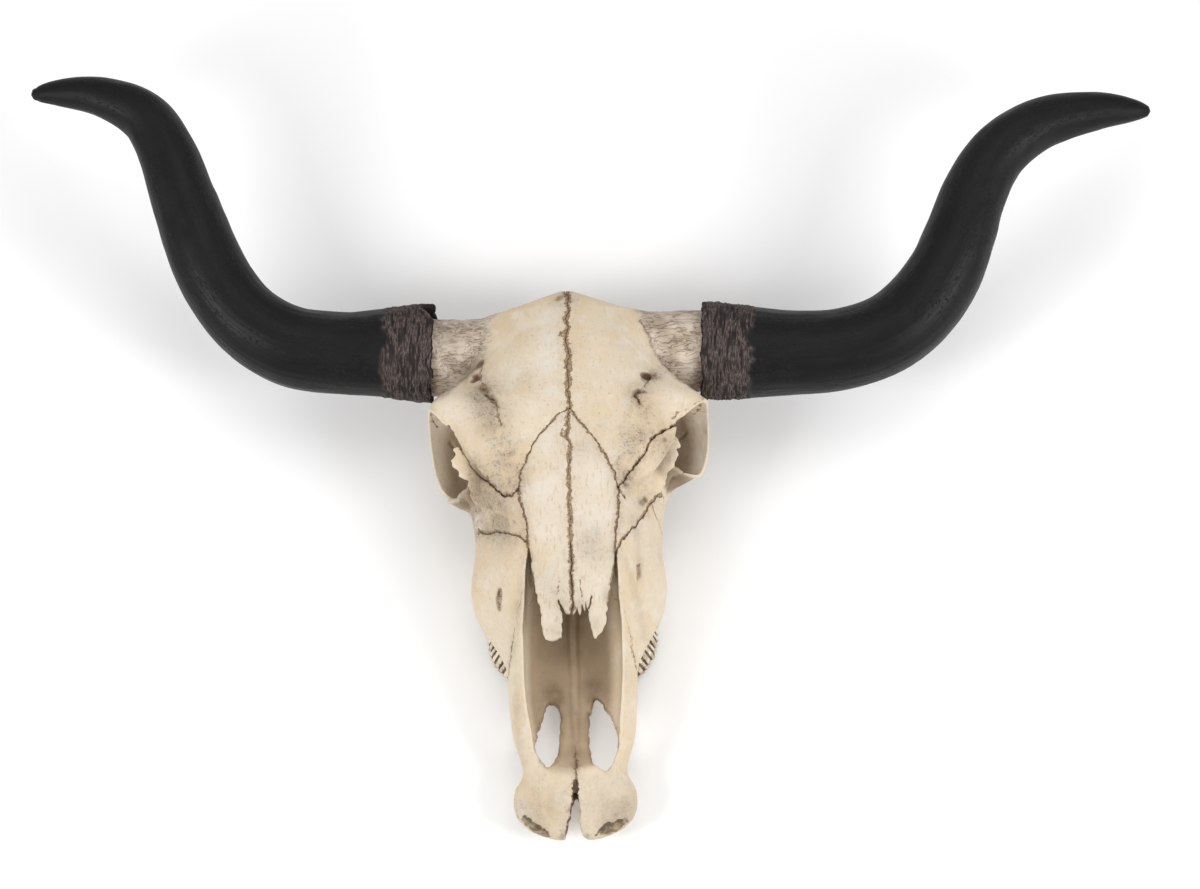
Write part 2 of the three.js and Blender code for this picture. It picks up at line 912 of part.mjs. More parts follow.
function buildWholeSkull() {

	const added = joined( [
		buildForehead(),
		buildFace(),
		buildMuzzleShield(),
		buildBraincase(),
		hornRoot( 1 ).add( hornRoot( - 1 ) ),
		buildBase(),
		buildOccipitalProcesses(),
		bothSides( buildOrbitWall() ),
		bothSides( buildCheekArch() ),
		bothSides( buildFacialCrest() ),
		bothSides( geometryOf( buildToothRow() ) ),
	] );
	const hollows = joined( [
		bothSides( buildOrbitHollow() ),
		buildNasalCavity(),
		buildPalatineFissures(),
		buildMuzzleNotch(),
		buildRearOpenings(),
	] );
	const underground = new THREE.BoxGeometry( 400, 800, 40 );
	underground.translate( 0, - 250, - 20 );
	return added.subtract( hollows ).subtract( solid( underground ) );

}

function buildVomer() {

	const crest = ( y, halfWidth, top ) => ( {
		y,
		half: [
			[ 0, top ],
			[ halfWidth * 0.5, top - 1 ],
			[ halfWidth * 0.6, ( top + CAVITY_FLOOR ) / 2 ],
			[ halfWidth, CAVITY_FLOOR + 2 ],
			[ halfWidth, CAVITY_FLOOR + SUTURE_GAP ],
			[ 0, CAVITY_FLOOR + SUTURE_GAP ],
		],
	} );
	const sections = [
		crest( - 264, 5, 92 ),
		crest( - 305, 6, 76 ),
		crest( - 345, 7, 62 ),
		crest( - 380, 6, 56 ),
		crest( - 425, 4, 53 ),
	];
	return stationLoft( sections, 1 );

}

let remaining = buildWholeSkull();

for ( const side of [ 'left', 'right' ] ) {

	const horn = HORNS[ side ];
	addBone( `horn_sheath_${ side }`, geometryOf( buildSheath( horn ) ), HORN );
	const skullSide = new THREE.BoxGeometry( 400, 400, 400 );
	skullSide.translate( horn.side * ( CORE_ROOT_X + SUTURE_GAP - 200 ), 0, 0 );
	const core = buildCoreBar( horn ).subtract( solid( skullSide ) );
	addBone( `horn_core_${ side }`, geometryOf( core ), CORE_BONE );

}

for ( const territory of TERRITORIES ) {

	const ceiling = territory.ceiling ?? ( () => SKY );
	let inside = prism( plan( territory.outline ), territory.floor, ceiling );
	const grownFloor = ( y ) => territory.floor( y ) - SUTURE_GAP;
	const grownCeiling = ( y ) => ceiling( y ) + SUTURE_GAP;
	let around = prism( grownOutline( plan( territory.outline ), SUTURE_GAP ), grownFloor, grownCeiling );
	if ( territory.hasHornRoot ) {

		inside = inside.add( hornRoot( 1 ) );
		around = around.add( hornRoot( 1, SUTURE_GAP ) );

	}

	const bone = geometryOf( largestBody( remaining.intersect( inside ) ) );
	addBone( `${ territory.name }_left`, bone, territory.look );
	addBone( `${ territory.name }_right`, mirrored( bone ), territory.look );
	remaining = remaining.subtract( around ).subtract( solid( mirrored( geometryOf( around ) ) ) );

}

const backPlane = - 36;
const backBlock = new THREE.BoxGeometry( 400, 200, 400 );
backBlock.translate( 0, backPlane + 100, 0 );
const backBlockGrown = backBlock.clone().translate( 0, - SUTURE_GAP, 0 );
addBone( 'occipital', geometryOf( largestBody( remaining.intersect( solid( backBlock ) ) ) ), BONE );
addBone( 'sphenoid', geometryOf( largestBody( remaining.subtract( solid( backBlockGrown ) ) ) ), BONE );
addBone( 'vomer', buildVomer(), BONE );

const extent = new THREE.Box3().setFromObject( group );
const middle = extent.getCenter( new THREE.Vector3() );
group.position.set( - middle.x, - middle.y, - extent.min.z );

export default group;
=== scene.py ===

# %% [markdown]
# # A longhorn steer skull
#
# The skull is a set of bones that meet along sutures, two bony horn cores that grow out of the
# forehead, and two horn sheaths that sit on the cores like long caps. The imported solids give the
# true size and place of every bone. This lesson models the same bones with their real surfaces:
# rounded forms, jagged sutures, ragged eye sockets, ribbed teeth and fibrous horn.
#
# Bones flow into each other, which is hard to model patch by patch. So the whole skull is first
# built as one distance field: a block of numbers that say how far each place is from the surface.
# Adding, carving and splitting are then short sums on arrays, and each bone becomes a mesh at the end.

# %% Load the frame
import itertools
import math
import time

import bpy
import numpy as np
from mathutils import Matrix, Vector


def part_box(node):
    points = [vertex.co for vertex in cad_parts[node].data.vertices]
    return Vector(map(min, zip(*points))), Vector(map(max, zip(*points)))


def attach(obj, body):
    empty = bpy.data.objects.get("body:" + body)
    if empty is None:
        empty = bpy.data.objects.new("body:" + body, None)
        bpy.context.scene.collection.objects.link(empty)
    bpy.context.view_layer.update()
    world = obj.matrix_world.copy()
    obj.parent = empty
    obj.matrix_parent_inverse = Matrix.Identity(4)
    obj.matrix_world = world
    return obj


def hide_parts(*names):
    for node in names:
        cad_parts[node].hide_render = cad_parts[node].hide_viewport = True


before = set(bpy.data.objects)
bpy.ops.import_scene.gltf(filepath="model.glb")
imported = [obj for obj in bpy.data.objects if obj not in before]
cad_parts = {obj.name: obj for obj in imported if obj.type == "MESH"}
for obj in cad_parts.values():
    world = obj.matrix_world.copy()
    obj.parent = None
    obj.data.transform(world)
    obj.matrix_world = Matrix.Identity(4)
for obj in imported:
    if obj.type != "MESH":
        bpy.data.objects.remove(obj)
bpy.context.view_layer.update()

import openvdb
from mathutils import Matrix, Vector

started = time.time()
print("solids in the frame:", len(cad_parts))

# %% [markdown]
# ## The skull's own axes
#
# It is easiest to think in millimetres from the poll, the top of the forehead: X runs across the
# skull, Y from the muzzle up to the poll and Z up from the floor. The nasal bones tell how that
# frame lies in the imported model: they meet on the midline, and their tips are 336 mm from the poll.
# Left and right are the animal's own, so its left side is at +X.

# %% The skull's own axes
NASAL_TIP = -336.0
nasal_left_low, nasal_left_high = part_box("nasal_left")
nasal_right_low, nasal_right_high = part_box("nasal_right")
MIDLINE = 500.0 * (nasal_left_low.x + nasal_right_high.x)
POLL = 1000.0 * nasal_left_low.y - NASAL_TIP
TO_ROW = np.array([MIDLINE, POLL, 0.0])


def to_metres(points):
    return (np.asarray(points, float) + TO_ROW) / 1000.0


print("midline at", round(MIDLINE, 2), "mm, poll at", round(POLL, 2), "mm")

# %% [markdown]
# ## Smooth paths
#
# Bone has no sharp turns along its length, so every line here is a few chosen places with a smooth
# path through them. A centripetal spline is used because it never loops or overshoots.

# %% Smooth paths
def smooth_path(points, steps, closed=False):
    """A centripetal Catmull-Rom path through the points, with steps samples in each span."""
    p = np.asarray(points, float)
    p = np.vstack([p[-1], p, p[:2]]) if closed else np.vstack([2 * p[0] - p[1], p, 2 * p[-1] - p[-2]])
    t = np.concatenate([[0], np.cumsum(np.maximum(np.linalg.norm(np.diff(p, axis=0), axis=1), 1e-6) ** 0.5)])
    u = np.linspace(0, 1, steps, endpoint=False)[:, None]
    out = []
    for i in range(1, len(p) - 2):
        s = t[i] + u * (t[i + 1] - t[i])

        def between(a, b, first, last):
            return ((t[last] - s) * a + (s - t[first]) * b) / (t[last] - t[first])

        a1 = between(p[i - 1], p[i], i - 1, i)
        a2 = between(p[i], p[i + 1], i, i + 1)
        a3 = between(p[i + 1], p[i + 2], i + 1, i + 2)
        b1 = between(a1, a2, i - 1, i + 1)
        b2 = between(a2, a3, i, i + 2)
        out.append(between(b1, b2, i, i + 1))
    if not closed:
        out.append(p[-2][None])
    return np.concatenate(out)


# %% [markdown]
# ## Skins and lofts
#
# A loft stretches a skin over ribs. Each rib is half an outline at one place along the skull, given
# by a few keys; smooth rails run from rib to rib, and the other half is the mirror image.

# %% Skins and lofts
def skin(rings):
    """Vertices and triangles of a closed skin over rings that all have the same count."""
    rings = np.asarray(rings, float)
    count, sides = rings.shape[:2]
    vertices = np.vstack([rings.reshape(-1, 3), rings[0].mean(0), rings[-1].mean(0)])
    n = np.arange(sides)
    following = (n + 1) % sides
    faces = []
    for r in range(count - 1):
        near, far = r * sides, (r + 1) * sides
        faces.append(np.column_stack([near + n, near + following, far + following]))
        faces.append(np.column_stack([near + n, far + following, far + n]))
    first, last = count * sides, count * sides + 1
    far = (count - 1) * sides
    faces.append(np.column_stack([np.full(sides, first), following, n]))
    faces.append(np.column_stack([np.full(sides, last), far + n, far + following]))
    return vertices, facing_out(vertices, np.vstack(faces))


def facing_out(vertices, faces):
    """Turns the faces over if they enclose a negative volume."""
    volume = 0.0
    for k in range(1, faces.shape[1] - 1):
        a, b, c = (vertices[faces[:, corner]] for corner in (0, k, k + 1))
        volume += np.einsum("ij,ij->i", a, np.cross(b, c)).sum()
    return faces if volume > 0 else faces[:, ::-1]


def loft(ribs, steps=6, per_key=6):
    """ribs: (y, [(x, z), ...]) with each left half from the top of the midline to its bottom."""
    keys = len(ribs[0][1])
    rails = [smooth_path([(half[k][0], y, half[k][1]) for y, half in ribs], steps) for k in range(keys)]
    rings = []
    for i in range(len(rails[0])):
        left = np.array([rail[i] for rail in rails])
        left[:, 1] = left[0, 1]
        right = left[-2:0:-1] * (-1, 1, 1)
        rings.append(smooth_path(np.vstack([left, right]), per_key, closed=True))
    return skin(rings)


# %% [markdown]
# ## Bars
#
# A bar is a round skin along a path. Both come out as plain vertex and triangle arrays, closed at
# the ends.

# %% Bars
def ring_frames(path):
    """For each place on a path, the two directions that span its ring: level, and over the top."""
    along = np.gradient(path, axis=0)
    along /= np.linalg.norm(along, axis=1)[:, None]
    level = np.cross((0, 0, 1), along)
    level /= np.linalg.norm(level, axis=1)[:, None]
    return level, np.cross(along, level)


def bar(path, radii, sides=24, flatten=1.0):
    level, over = ring_frames(path)
    angle = np.linspace(0, 2 * np.pi, sides, endpoint=False)
    across = np.cos(angle)[None, :, None] * level[:, None, :]
    above = flatten * np.sin(angle)[None, :, None] * over[:, None, :]
    radii = np.broadcast_to(radii, len(path))
    return skin(path[:, None, :] + radii[:, None, None] * (across + above))


def graded(place, table):
    """A value read off a short table of (place, value) pairs, straight between them."""
    places, values = zip(*table)
    return np.interp(place, places, values)


def mirrored(mesh):
    vertices, triangles = mesh
    return vertices * (-1, 1, 1), triangles[:, ::-1]


# %% [markdown]
# ## Seeded noise
#
# Bone is never perfectly smooth. One table of random numbers, made with a fixed seed, is read with
# smooth blending between its entries, so every run gives the same lumps, jags and pits.

# %% Seeded noise
NOISE_SIZE = 48
NOISE = np.random.default_rng(1867).uniform(-1, 1, (NOISE_SIZE,) * 3).astype(np.float32)


def noise(x, y, z, scale, shift=0.0):
    """Smooth noise from -1 to 1 whose lumps are about scale millimetres wide."""
    low, part = [], []
    for value, step in zip((x, y, z), (1.0, 1.7, 2.3)):
        q = np.asarray(value, np.float32) / scale + shift * step
        base = np.floor(q)
        f = q - base
        low.append(base.astype(np.int32))
        part.append(f * f * (3 - 2 * f))
    total = 0.0
    for corner in itertools.product((0, 1), repeat=3):
        weight = 1.0
        place = []
        for axis in range(3):
            weight = weight * (part[axis] if corner[axis] else 1 - part[axis])
            place.append((low[axis] + corner[axis]) % NOISE_SIZE)
        total = total + weight * NOISE[place[0], place[1], place[2]]
    return total


def rough(x, y, z, scale, shift=0.0):
    """Two octaves of noise."""
    return 0.65 * noise(x, y, z, scale, shift) + 0.35 * noise(x, y, z, scale * 0.45, shift + 5)


def ramp(value, start, end):
    t = np.clip((value - start) / (end - start), 0, 1)
    return t * t * (3 - 2 * t)


print("noise table of", NOISE.size, "numbers")

# %% [markdown]
# ## The distance field
#
# The block covers the skull without its horns. Each number is the distance to the surface in
# millimetres, negative inside. A window is the part of the block around one form.

# %% The distance field
VOXEL = 1.14  # millimetres
BAND = 9.0
BLOCK_LOW = np.array([-152.0, -512.0, -5.0])
BLOCK_HIGH = np.array([152.0, 14.0, 184.0])
START = np.floor(BLOCK_LOW / VOXEL).astype(int)
SHAPE = np.ceil(BLOCK_HIGH / VOXEL).astype(int) - START + 1
AXES = [(START[k] + np.arange(SHAPE[k])) * VOXEL for k in range(3)]
X = AXES[0][:, None, None].astype(np.float32)
Y = AXES[1][None, :, None].astype(np.float32)
Z = AXES[2][None, None, :].astype(np.float32)
EVERYWHERE = tuple(slice(0, int(n)) for n in SHAPE)


def window(low, high):
    first = np.clip(np.floor(np.asarray(low, float) / VOXEL).astype(int) - START, 0, SHAPE)
    last = np.clip(np.ceil(np.asarray(high, float) / VOXEL).astype(int) + 1 - START, 0, SHAPE)
    return tuple(slice(int(a), int(b)) for a, b in zip(first, last))


def coordinates(part):
    return X[part[0]], Y[:, part[1]], Z[:, :, part[2]]


print("block of", "x".join(str(int(n)) for n in SHAPE), "voxels of", VOXEL, "mm")

# %% [markdown]
# ## Adding and carving
#
# OpenVDB, which ships with Blender, turns a closed mesh into such distances. Two fields are joined
# with a smooth minimum and carved with a smooth maximum, and the softness of either sets how wide
# the blend between two forms is.

# %% Adding and carving
def vdb_of(mesh):
    vertices, triangles = mesh
    return openvdb.FloatGrid.createLevelSetFromPolygons(
        vertices.astype(np.float32),
        triangles=triangles.astype(np.uint32),
        transform=openvdb.createLinearTransform(voxelSize=VOXEL),
        halfWidth=BAND / VOXEL,
    )


def distances(mesh, part):
    values = np.empty([s.stop - s.start for s in part], np.float32)
    corner = tuple(int(START[k] + part[k].start) for k in range(3))
    vdb_of(mesh).copyToArray(values, ijk=corner)
    return values


def around(mesh):
    return window(mesh[0].min(0) - BAND, mesh[0].max(0) + BAND)


def soft_min(a, b, soft):
    h = np.maximum(soft - np.abs(a - b), 0) / soft
    return np.minimum(a, b) - h * h * soft * 0.25


def soft_max(a, b, soft):
    return -soft_min(-a, -b, soft)


def add_mesh(field, mesh, soft):
    part = around(mesh)
    field[part] = soft_min(field[part], distances(mesh, part), soft)


def carve_mesh(field, mesh, soft):
    part = around(mesh)
    field[part] = soft_max(field[part], -distances(mesh, part), soft)


def both(change, field, mesh, soft):
    change(field, mesh, soft)
    change(field, mirrored(mesh), soft)


skull = np.full(SHAPE, BAND, np.float32)
print("empty block of", skull.size, "numbers")

# %% [markdown]
# ## A living skull leans
#
# No animal is quite symmetrical. On this one the right cheek stands out a little further than the
# left. The lofts of the braincase, face, forehead and muzzle are bent by the same small amounts, so they
# still fit.

# %% The lean
RIGHT_SWELL = [(-520, 1.0), (-480, 1.02), (-440, 1.0), (-350, 1.02), (-300, 1.03), (-235, 1.02), (-180, 1.01),
               (-110, 1.01), (-60, 1.02), (0, 1.0)]
LEFT_SWELL = [(-520, 0.98), (-480, 0.98), (-440, 0.97), (-350, 0.97), (-300, 0.955), (-235, 0.955),
              (-190, 0.97), (-150, 0.99), (-110, 1.0), (0, 1.0)]


def leaned(mesh):
    vertices, triangles = mesh
    bent = vertices.copy()
    x, y = vertices[:, 0], vertices[:, 1]
    swell = np.where(x > 0, graded(y, LEFT_SWELL), graded(y, RIGHT_SWELL))
    near_skull = 1 - ramp(np.abs(x), 105, 125)
    bent[:, 0] = x * (1 + (swell - 1) * near_skull)
    return bent, triangles


print("the right cheek is up to", max(swell for _, swell in RIGHT_SWELL), "times as wide")

# %% [markdown]
# ## Forehead, face, muzzle and braincase
#
# The forehead is a crowned plate that ends in a sharp edge above each temple and each eye. The face
# is a tube that narrows to two rails beside the open nose, and the muzzle ends in two flat lobes.

# %% Forehead, face, muzzle and braincase
PALATE_UNDERSIDE = 38.0


def forehead_rib(y, half, crown, edge, thickness):
    drop = crown - edge
    return y, [(0, crown), (half * 0.45, crown - 0.16 * drop), (half * 0.8, crown - 0.55 * drop),
               (half, edge), (half - 3, edge - 0.7 * thickness), (0, edge - 1.3 * thickness)]


def face_rib(y, crown, roof, shoulder, cheek, tooth_edge):
    return y, [(0, crown), roof, shoulder, cheek, tooth_edge, (tooth_edge[0] * 0.6, PALATE_UNDERSIDE),
               (0, PALATE_UNDERSIDE)]


def lobe_rib(y, half, top, bottom):
    return y, [(0, top), (half * 0.68, top), (half, top - 0.45 * (top - bottom)), (half * 0.68, bottom),
               (0, bottom)]


def oval_rib(y, half, top, bottom):
    tall = top - bottom
    return y, [(0, top), (half * 0.75, top - 0.1 * tall), (half, top - 0.45 * tall),
               (half * 0.8, bottom + 0.15 * tall), (0, bottom)]


# %% [markdown]
# ## Forehead and face
#
# Each line is one rib: its place along the skull, then its width and heights. The plates of the
# forehead are thin at their edges, so those ribs also carry a thickness.

# %% Forehead and face
forehead = loft([
    forehead_rib(4, 6, 136.5, 134, 14),
    forehead_rib(-3, 31, 140, 129, 22),
    forehead_rib(-13, 72, 143.5, 113, 26),
    forehead_rib(-32, 80, 150.5, 118, 26),
    forehead_rib(-57, 80, 158, 133, 16),
    forehead_rib(-74, 91, 162, 137, 12),
    forehead_rib(-90, 107, 166, 139, 11),
    forehead_rib(-108, 128.5, 169.8, 138, 11),
    forehead_rib(-119, 121, 171, 141, 9),
    forehead_rib(-133, 104, 171.8, 146, 9),
    forehead_rib(-150, 98.5, 170.8, 146, 11),
    forehead_rib(-180, 80, 165.6, 146.5, 14),
    forehead_rib(-202, 52, 158.5, 152, 10),
    forehead_rib(-226, 40, 149, 144, 8),
])
face = loft([
    face_rib(-158, 166, (45, 160), (70, 138), (56, 98), (36, 52)),
    face_rib(-185, 163, (46.5, 157), (88, 126), (84, 92), (58, 42)),
    face_rib(-210, 159.5, (46, 154), (79, 122), (88, 83), (76, 32)),
    face_rib(-240, 154.5, (42, 150), (64, 125), (90, 71), (79, 27)),
    face_rib(-268, 149.5, (38, 145), (53, 127), (93.5, 60), (81, 26)),
    face_rib(-291, 145, (35, 141), (50.5, 120), (89.5, 56), (80, 26)),
    face_rib(-312, 140, (32, 136.5), (51, 110), (79, 54), (71, 35)),
    face_rib(-335, 135.5, (28, 132), (53, 96), (64.5, 61), (62, 37)),
    face_rib(-352, 124, (28, 118), (54, 88), (61.5, 63), (54, 39)),
    face_rib(-380, 96, (28, 92), (51, 79), (60.5, 58), (53, 37)),
    face_rib(-410, 76, (28, 74), (46, 68), (57.5, 53), (50, 37)),
    face_rib(-440, 57, (26, 56), (38, 54), (48, 46), (42, 36)),
    face_rib(-466, 47, (22, 46.5), (32, 45), (38, 41), (34, 38.5)),
])
print("forehead and face:", len(forehead[0]) + len(face[0]), "vertices")

# %% [markdown]
# ## Muzzle and braincase
#
# The muzzle flares into two flat lobes, and the braincase hangs under the forehead like an egg. The
# four forms melt into each other with a different softness each.

# %% Muzzle and braincase
muzzle = loft([
    lobe_rib(-426, 38, 52, 39),
    lobe_rib(-444, 48, 53, 33),
    lobe_rib(-457, 56.5, 52.5, 28),
    lobe_rib(-471, 58, 49, 25),
    lobe_rib(-484, 54, 46, 25),
    lobe_rib(-494, 44, 43, 27),
    lobe_rib(-500, 32, 41, 30),
    lobe_rib(-503.5, 20, 38.5, 32.5),
])
braincase = loft([
    oval_rib(-3, 52, 124, 44),
    oval_rib(-14, 76, 128, 36),
    oval_rib(-38, 66, 138, 34),
    oval_rib(-70, 56, 146, 34),
    oval_rib(-100, 50, 150, 38),
    oval_rib(-160, 46, 158, 52),
])
add_mesh(skull, leaned(braincase), 1.0)
add_mesh(skull, leaned(face), 8.0)
add_mesh(skull, leaned(forehead), 5.0)
add_mesh(skull, leaned(muzzle), 9.0)
print("forehead, face, muzzle and braincase joined after", round(time.time() - started, 1), "s")

# %% [markdown]
# ## Horn lines
#
# Each horn leaves the skull level and sideways, sweeps up towards the poll's side and turns out at
# the tip. The same line carries the bony core, which fills the first third of the sheath.

# %% Horn lines
SHEATH_MOUTH = 129.0
CORE_RADIUS = 38.0
CORE_REACH = 0.38
HORN_STATIONS = {
    "left": [
        (60, -47, 97, 39), (SHEATH_MOUTH, -46, 98, 46), (174, -49, 99, 43.6), (217, -51, 101, 40.6),
        (260, -50.5, 106, 39), (300, -40, 112, 38.4), (329, -21.5, 118, 37.8), (358.5, 14, 128, 36),
        (376.5, 53, 138, 33.6), (391, 89, 146, 31.4), (414.5, 127, 154, 28.2), (453, 153.5, 160, 25),
        (510, 165, 165, 18.4), (542, 164, 167.5, 11.8), (557, 162.5, 168, 6), (561.5, 162, 168, 1),
    ],
    "right": [
        (-60, -47, 97, 39), (-SHEATH_MOUTH, -42.5, 98, 46), (-175, -41.5, 99, 42.6), (-217, -41.5, 102, 39.6),
        (-268, -34, 108, 38.2), (-305, -11.5, 116, 36.2), (-328.5, 17, 124, 35.2), (-344, 46, 132, 34.4),
        (-362.5, 97, 144, 31.6), (-379.5, 147, 154, 28.2), (-402, 183, 160, 24.4), (-443, 202.5, 165, 19.2),
        (-484, 206.5, 167, 12.6), (-504, 205, 168, 6.5), (-509.5, 204.5, 168, 1),
    ],
}
SIDES = {"left": 1, "right": -1}


def horn_line(side, count):
    """Evenly spaced places along a horn, their radii, and where on it the sheath begins (0 to 1)."""
    dense = smooth_path(HORN_STATIONS[side], 40)
    length = np.concatenate([[0], np.cumsum(np.linalg.norm(np.diff(dense[:, :3], axis=0), axis=1))])
    share = length / length[-1]
    even = np.linspace(0, 1, count)
    line = np.column_stack([np.interp(even, share, dense[:, k]) for k in range(4)])
    return line[:, :3], line[:, 3], share[40], length[-1]


print("horn lengths:", {side: round(float(horn_line(side, 50)[3])) for side in SIDES}, "mm")

# %% [markdown]
# ## Bony cores
#
# The bone of a core is fed by many small vessels, so its surface is a maze of worm-like furrows
# along the horn. They are cut into the skin here, because they show at this size.

# %% Bony cores
def core_radius(place, mouth):
    inside = np.clip((place - mouth) / CORE_REACH, 0, 1)
    return (CORE_RADIUS + 0.4) * np.sqrt(1 - 0.93 * inside ** 1.4)


def horn_core(side):
    path, _, mouth, length = horn_line(side, 700)
    place = np.linspace(0, 1, 700)
    keep = place <= mouth + CORE_REACH
    path, place = path[keep], place[keep]
    if side == "right":
        path = path - [[0, 4.5, 0]] * np.exp(-(((place[:, None] - mouth) / 0.12) ** 2))
    sides = 200
    level, over = ring_frames(path)
    angle = np.linspace(0, 2 * np.pi, sides, endpoint=False)[None, :]
    along = place[:, None] * length
    round_the_core = angle * CORE_RADIUS
    seam = np.cos(angle) * CORE_RADIUS, np.sin(angle) * CORE_RADIUS
    furrow = np.abs(noise(along * 0.42, seam[0], seam[1], 5.0, 3.0))
    ridge = np.abs(noise(along * 0.5, seam[0], seam[1], 11.0, 9.0))
    pit = np.maximum(noise(along, seam[0], seam[1], 4.0, 6.0) - 0.45, 0)
    relief = 1.1 * np.minimum(furrow, 0.5) + 1.3 * np.minimum(ridge, 0.5) - 1.6 * pit - 0.75
    radius = core_radius(place, mouth)[:, None] + relief * ramp(place[:, None], 0.0, 0.05)
    if side == "right":
        radius = radius - 2.2 * np.exp(-(((place[:, None] - mouth) / 0.12) ** 2))
    across = np.cos(angle)[:, :, None] * level[:, None, :]
    above = np.sin(angle)[:, :, None] * over[:, None, :]
    return skin(path[:, None, :] + radius[:, :, None] * (across + above))


horn_cores = {side: horn_core(side) for side in SIDES}
for side, core in horn_cores.items():
    add_mesh(skull, core, 13.0)
print("core reaches x =", {side: round(float(np.abs(core[0][:, 0]).max()), 1) for side,
                           core in horn_cores.items()})

# %% [markdown]
# ## Eye sockets and cheek
#
# A socket is a cup with a thin rim. Its rim is a closed loop through eight places on the brow, the
# bar behind the eye and the cheek bone. Rings that follow the rim, smaller and deeper one after
# another, make the outside of the cup and then the hollow that is carved out of it.

# %% Eye sockets and cheek
ORBIT_AXIS = np.array([0.84, -0.16, 0.52])
ORBIT_AXIS /= np.linalg.norm(ORBIT_AXIS)
ORBIT_AXES = {side: ORBIT_AXIS * (sign, 1, 1) for side, sign in {"left": 1, "right": -1}.items()}
ORBIT_RIMS = {
    "left": smooth_path([
        (127, -111, 138), (130.5, -122, 110), (129.5, -148, 95), (121.5, -168, 92), (106, -168, 101),
        (92, -162, 116), (93, -141, 139), (107, -125, 144),
    ], 12, closed=True),
    "right": smooth_path([
        (-128, -115, 137), (-131, -126, 110), (-127.5, -156, 96), (-120, -178, 90), (-107, -188, 94),
        (-95, -180, 112), (-96, -158, 135), (-113, -134, 144),
    ], 12, closed=True),
}
ORBIT_CENTRES = {side: rim.mean(0) for side, rim in ORBIT_RIMS.items()}


def orbit_cup(side, profile, rag=0.0):
    """profile: (size against the rim, depth below it) from the bottom of the cup to its mouth."""
    centre = ORBIT_CENTRES[side]
    rings = []
    for size, depth in smooth_path([(s * 40.0, d) for s, d in profile], 8):
        ring = centre + (ORBIT_RIMS[side] - centre) * (size / 40.0) - ORBIT_AXES[side] * depth
        if rag:
            ring = ring + rag * noise(ring[:, 0], ring[:, 1], ring[:, 2], 7.0, 2.0)[:, None] * (0.6, 0.8, 0.2)
        rings.append(ring)
    return skin(rings)


WALL_PROFILE = [(0.5, 60), (0.95, 40), (1.1, 14), (1.06, -1.5)]
HOLLOW_PROFILE = [(0.1, 46), (0.35, 43), (0.72, 31), (0.93, 11), (0.99, -4), (1.02, -30)]
orbit_walls = {side: orbit_cup(side, WALL_PROFILE) for side in ("left", "right")}
orbit_hollows = {side: orbit_cup(side, HOLLOW_PROFILE, rag=1.2) for side in ("left", "right")}
print("sockets centred at", {side: centre.round().tolist() for side, centre in ORBIT_CENTRES.items()})

# %% [markdown]
# ## Cheek arch and crests
#
# A slim arch runs back from the socket over the temple, and two crests run forward under it. They
# are bars with a radius at each place.

# %% Cheek arch and crests
cheek_arch_path = smooth_path([(56, -50, 76), (84, -54, 80), (104, -70, 84), (116, -98, 88),
                               (123, -130, 92)], 10)
cheek_arch = bar(cheek_arch_path, graded(np.linspace(0, 1, len(cheek_arch_path)),
                                         [(0, 13), (0.35, 8), (1, 7)]),
                 flatten=1.15)
CHEEK_CRESTS = {  # x, y, z and radius: the lower crest, then the wall above it
    "left": [
        [(114.5, -163.5, 83, 5), (106.5, -166, 82, 7), (91.5, -172.5, 81, 9), (83.5, -183, 81, 9.5),
         (80, -195, 78, 9.5), (77.5, -208, 74, 9), (76, -232, 69, 7)],
        [(100, -164, 99, 4), (91, -170, 104, 6), (84, -181, 106, 8), (79, -196, 104, 8), (73, -214, 99, 7),
         (68, -232, 93, 5)],
    ],
    "right": [
        [(-112, -185, 83, 4), (-103, -188.5, 84, 6), (-93, -191.5, 84, 8), (-86, -198, 82, 9),
         (-83, -208, 78, 9.5),
         (-81, -217, 74, 9), (-79, -240, 69, 7)],
        [(-102, -183, 97, 4), (-93, -188, 102, 6), (-86, -198, 104, 8), (-81, -212, 101, 8),
         (-76, -226, 96, 7),
         (-72, -242, 90, 5)],
    ],
}


def tapered_bar(stations, sides=24):
    path = smooth_path(stations, 10)
    return bar(path[:, :3], path[:, 3], sides)


for orbit_wall in orbit_walls.values():
    add_mesh(skull, orbit_wall, 4.0)
both(add_mesh, skull, cheek_arch, 5.0)
print("sockets reach x =", {side: round(float(np.abs(rim[:, 0]).max()), 1) for side,
                            rim in ORBIT_RIMS.items()})

# %% [markdown]
# ## The back and the underside
#
# Two condyles carry the skull on the neck, and a process hangs down beside each: with the cheek
# teeth they are what the skull rests on. Under the braincase lie a bar of bone and two bubbles, the
# bullae, and thin wings stand behind the palate.

# %% The back and the underside
def ball(centre, radii, lumps=0.0):
    turn = np.linspace(0, 2 * np.pi, 40, endpoint=False)
    rings = []
    for tilt in np.linspace(0.08, np.pi - 0.08, 20):
        ring = np.column_stack([np.sin(tilt) * np.cos(turn), np.sin(tilt) * np.sin(turn),
                                np.full(40, np.cos(tilt))]) * radii + centre
        if lumps:
            swell = 1 + lumps * noise(ring[:, 0], ring[:, 1], ring[:, 2], 12.0, 4.0)[:, None]
            ring = centre + (ring - centre) * swell
        rings.append(ring)
    return skin(rings)


def process():
    path = smooth_path([(52, -24, 70), (58, -26, 45), (60, -27, 20), (57, -27, -6)], 8)
    share = np.linspace(0, 1, len(path))
    turn = np.linspace(0, 2 * np.pi, 28, endpoint=False)
    rings = []
    for centre, t in zip(path, share):
        size = np.array([13 - 6 * t, 15 - 7 * t, 0])
        rings.append(centre + np.column_stack([np.cos(turn), np.sin(turn), np.zeros(28)]) * size)
    return skin(rings)


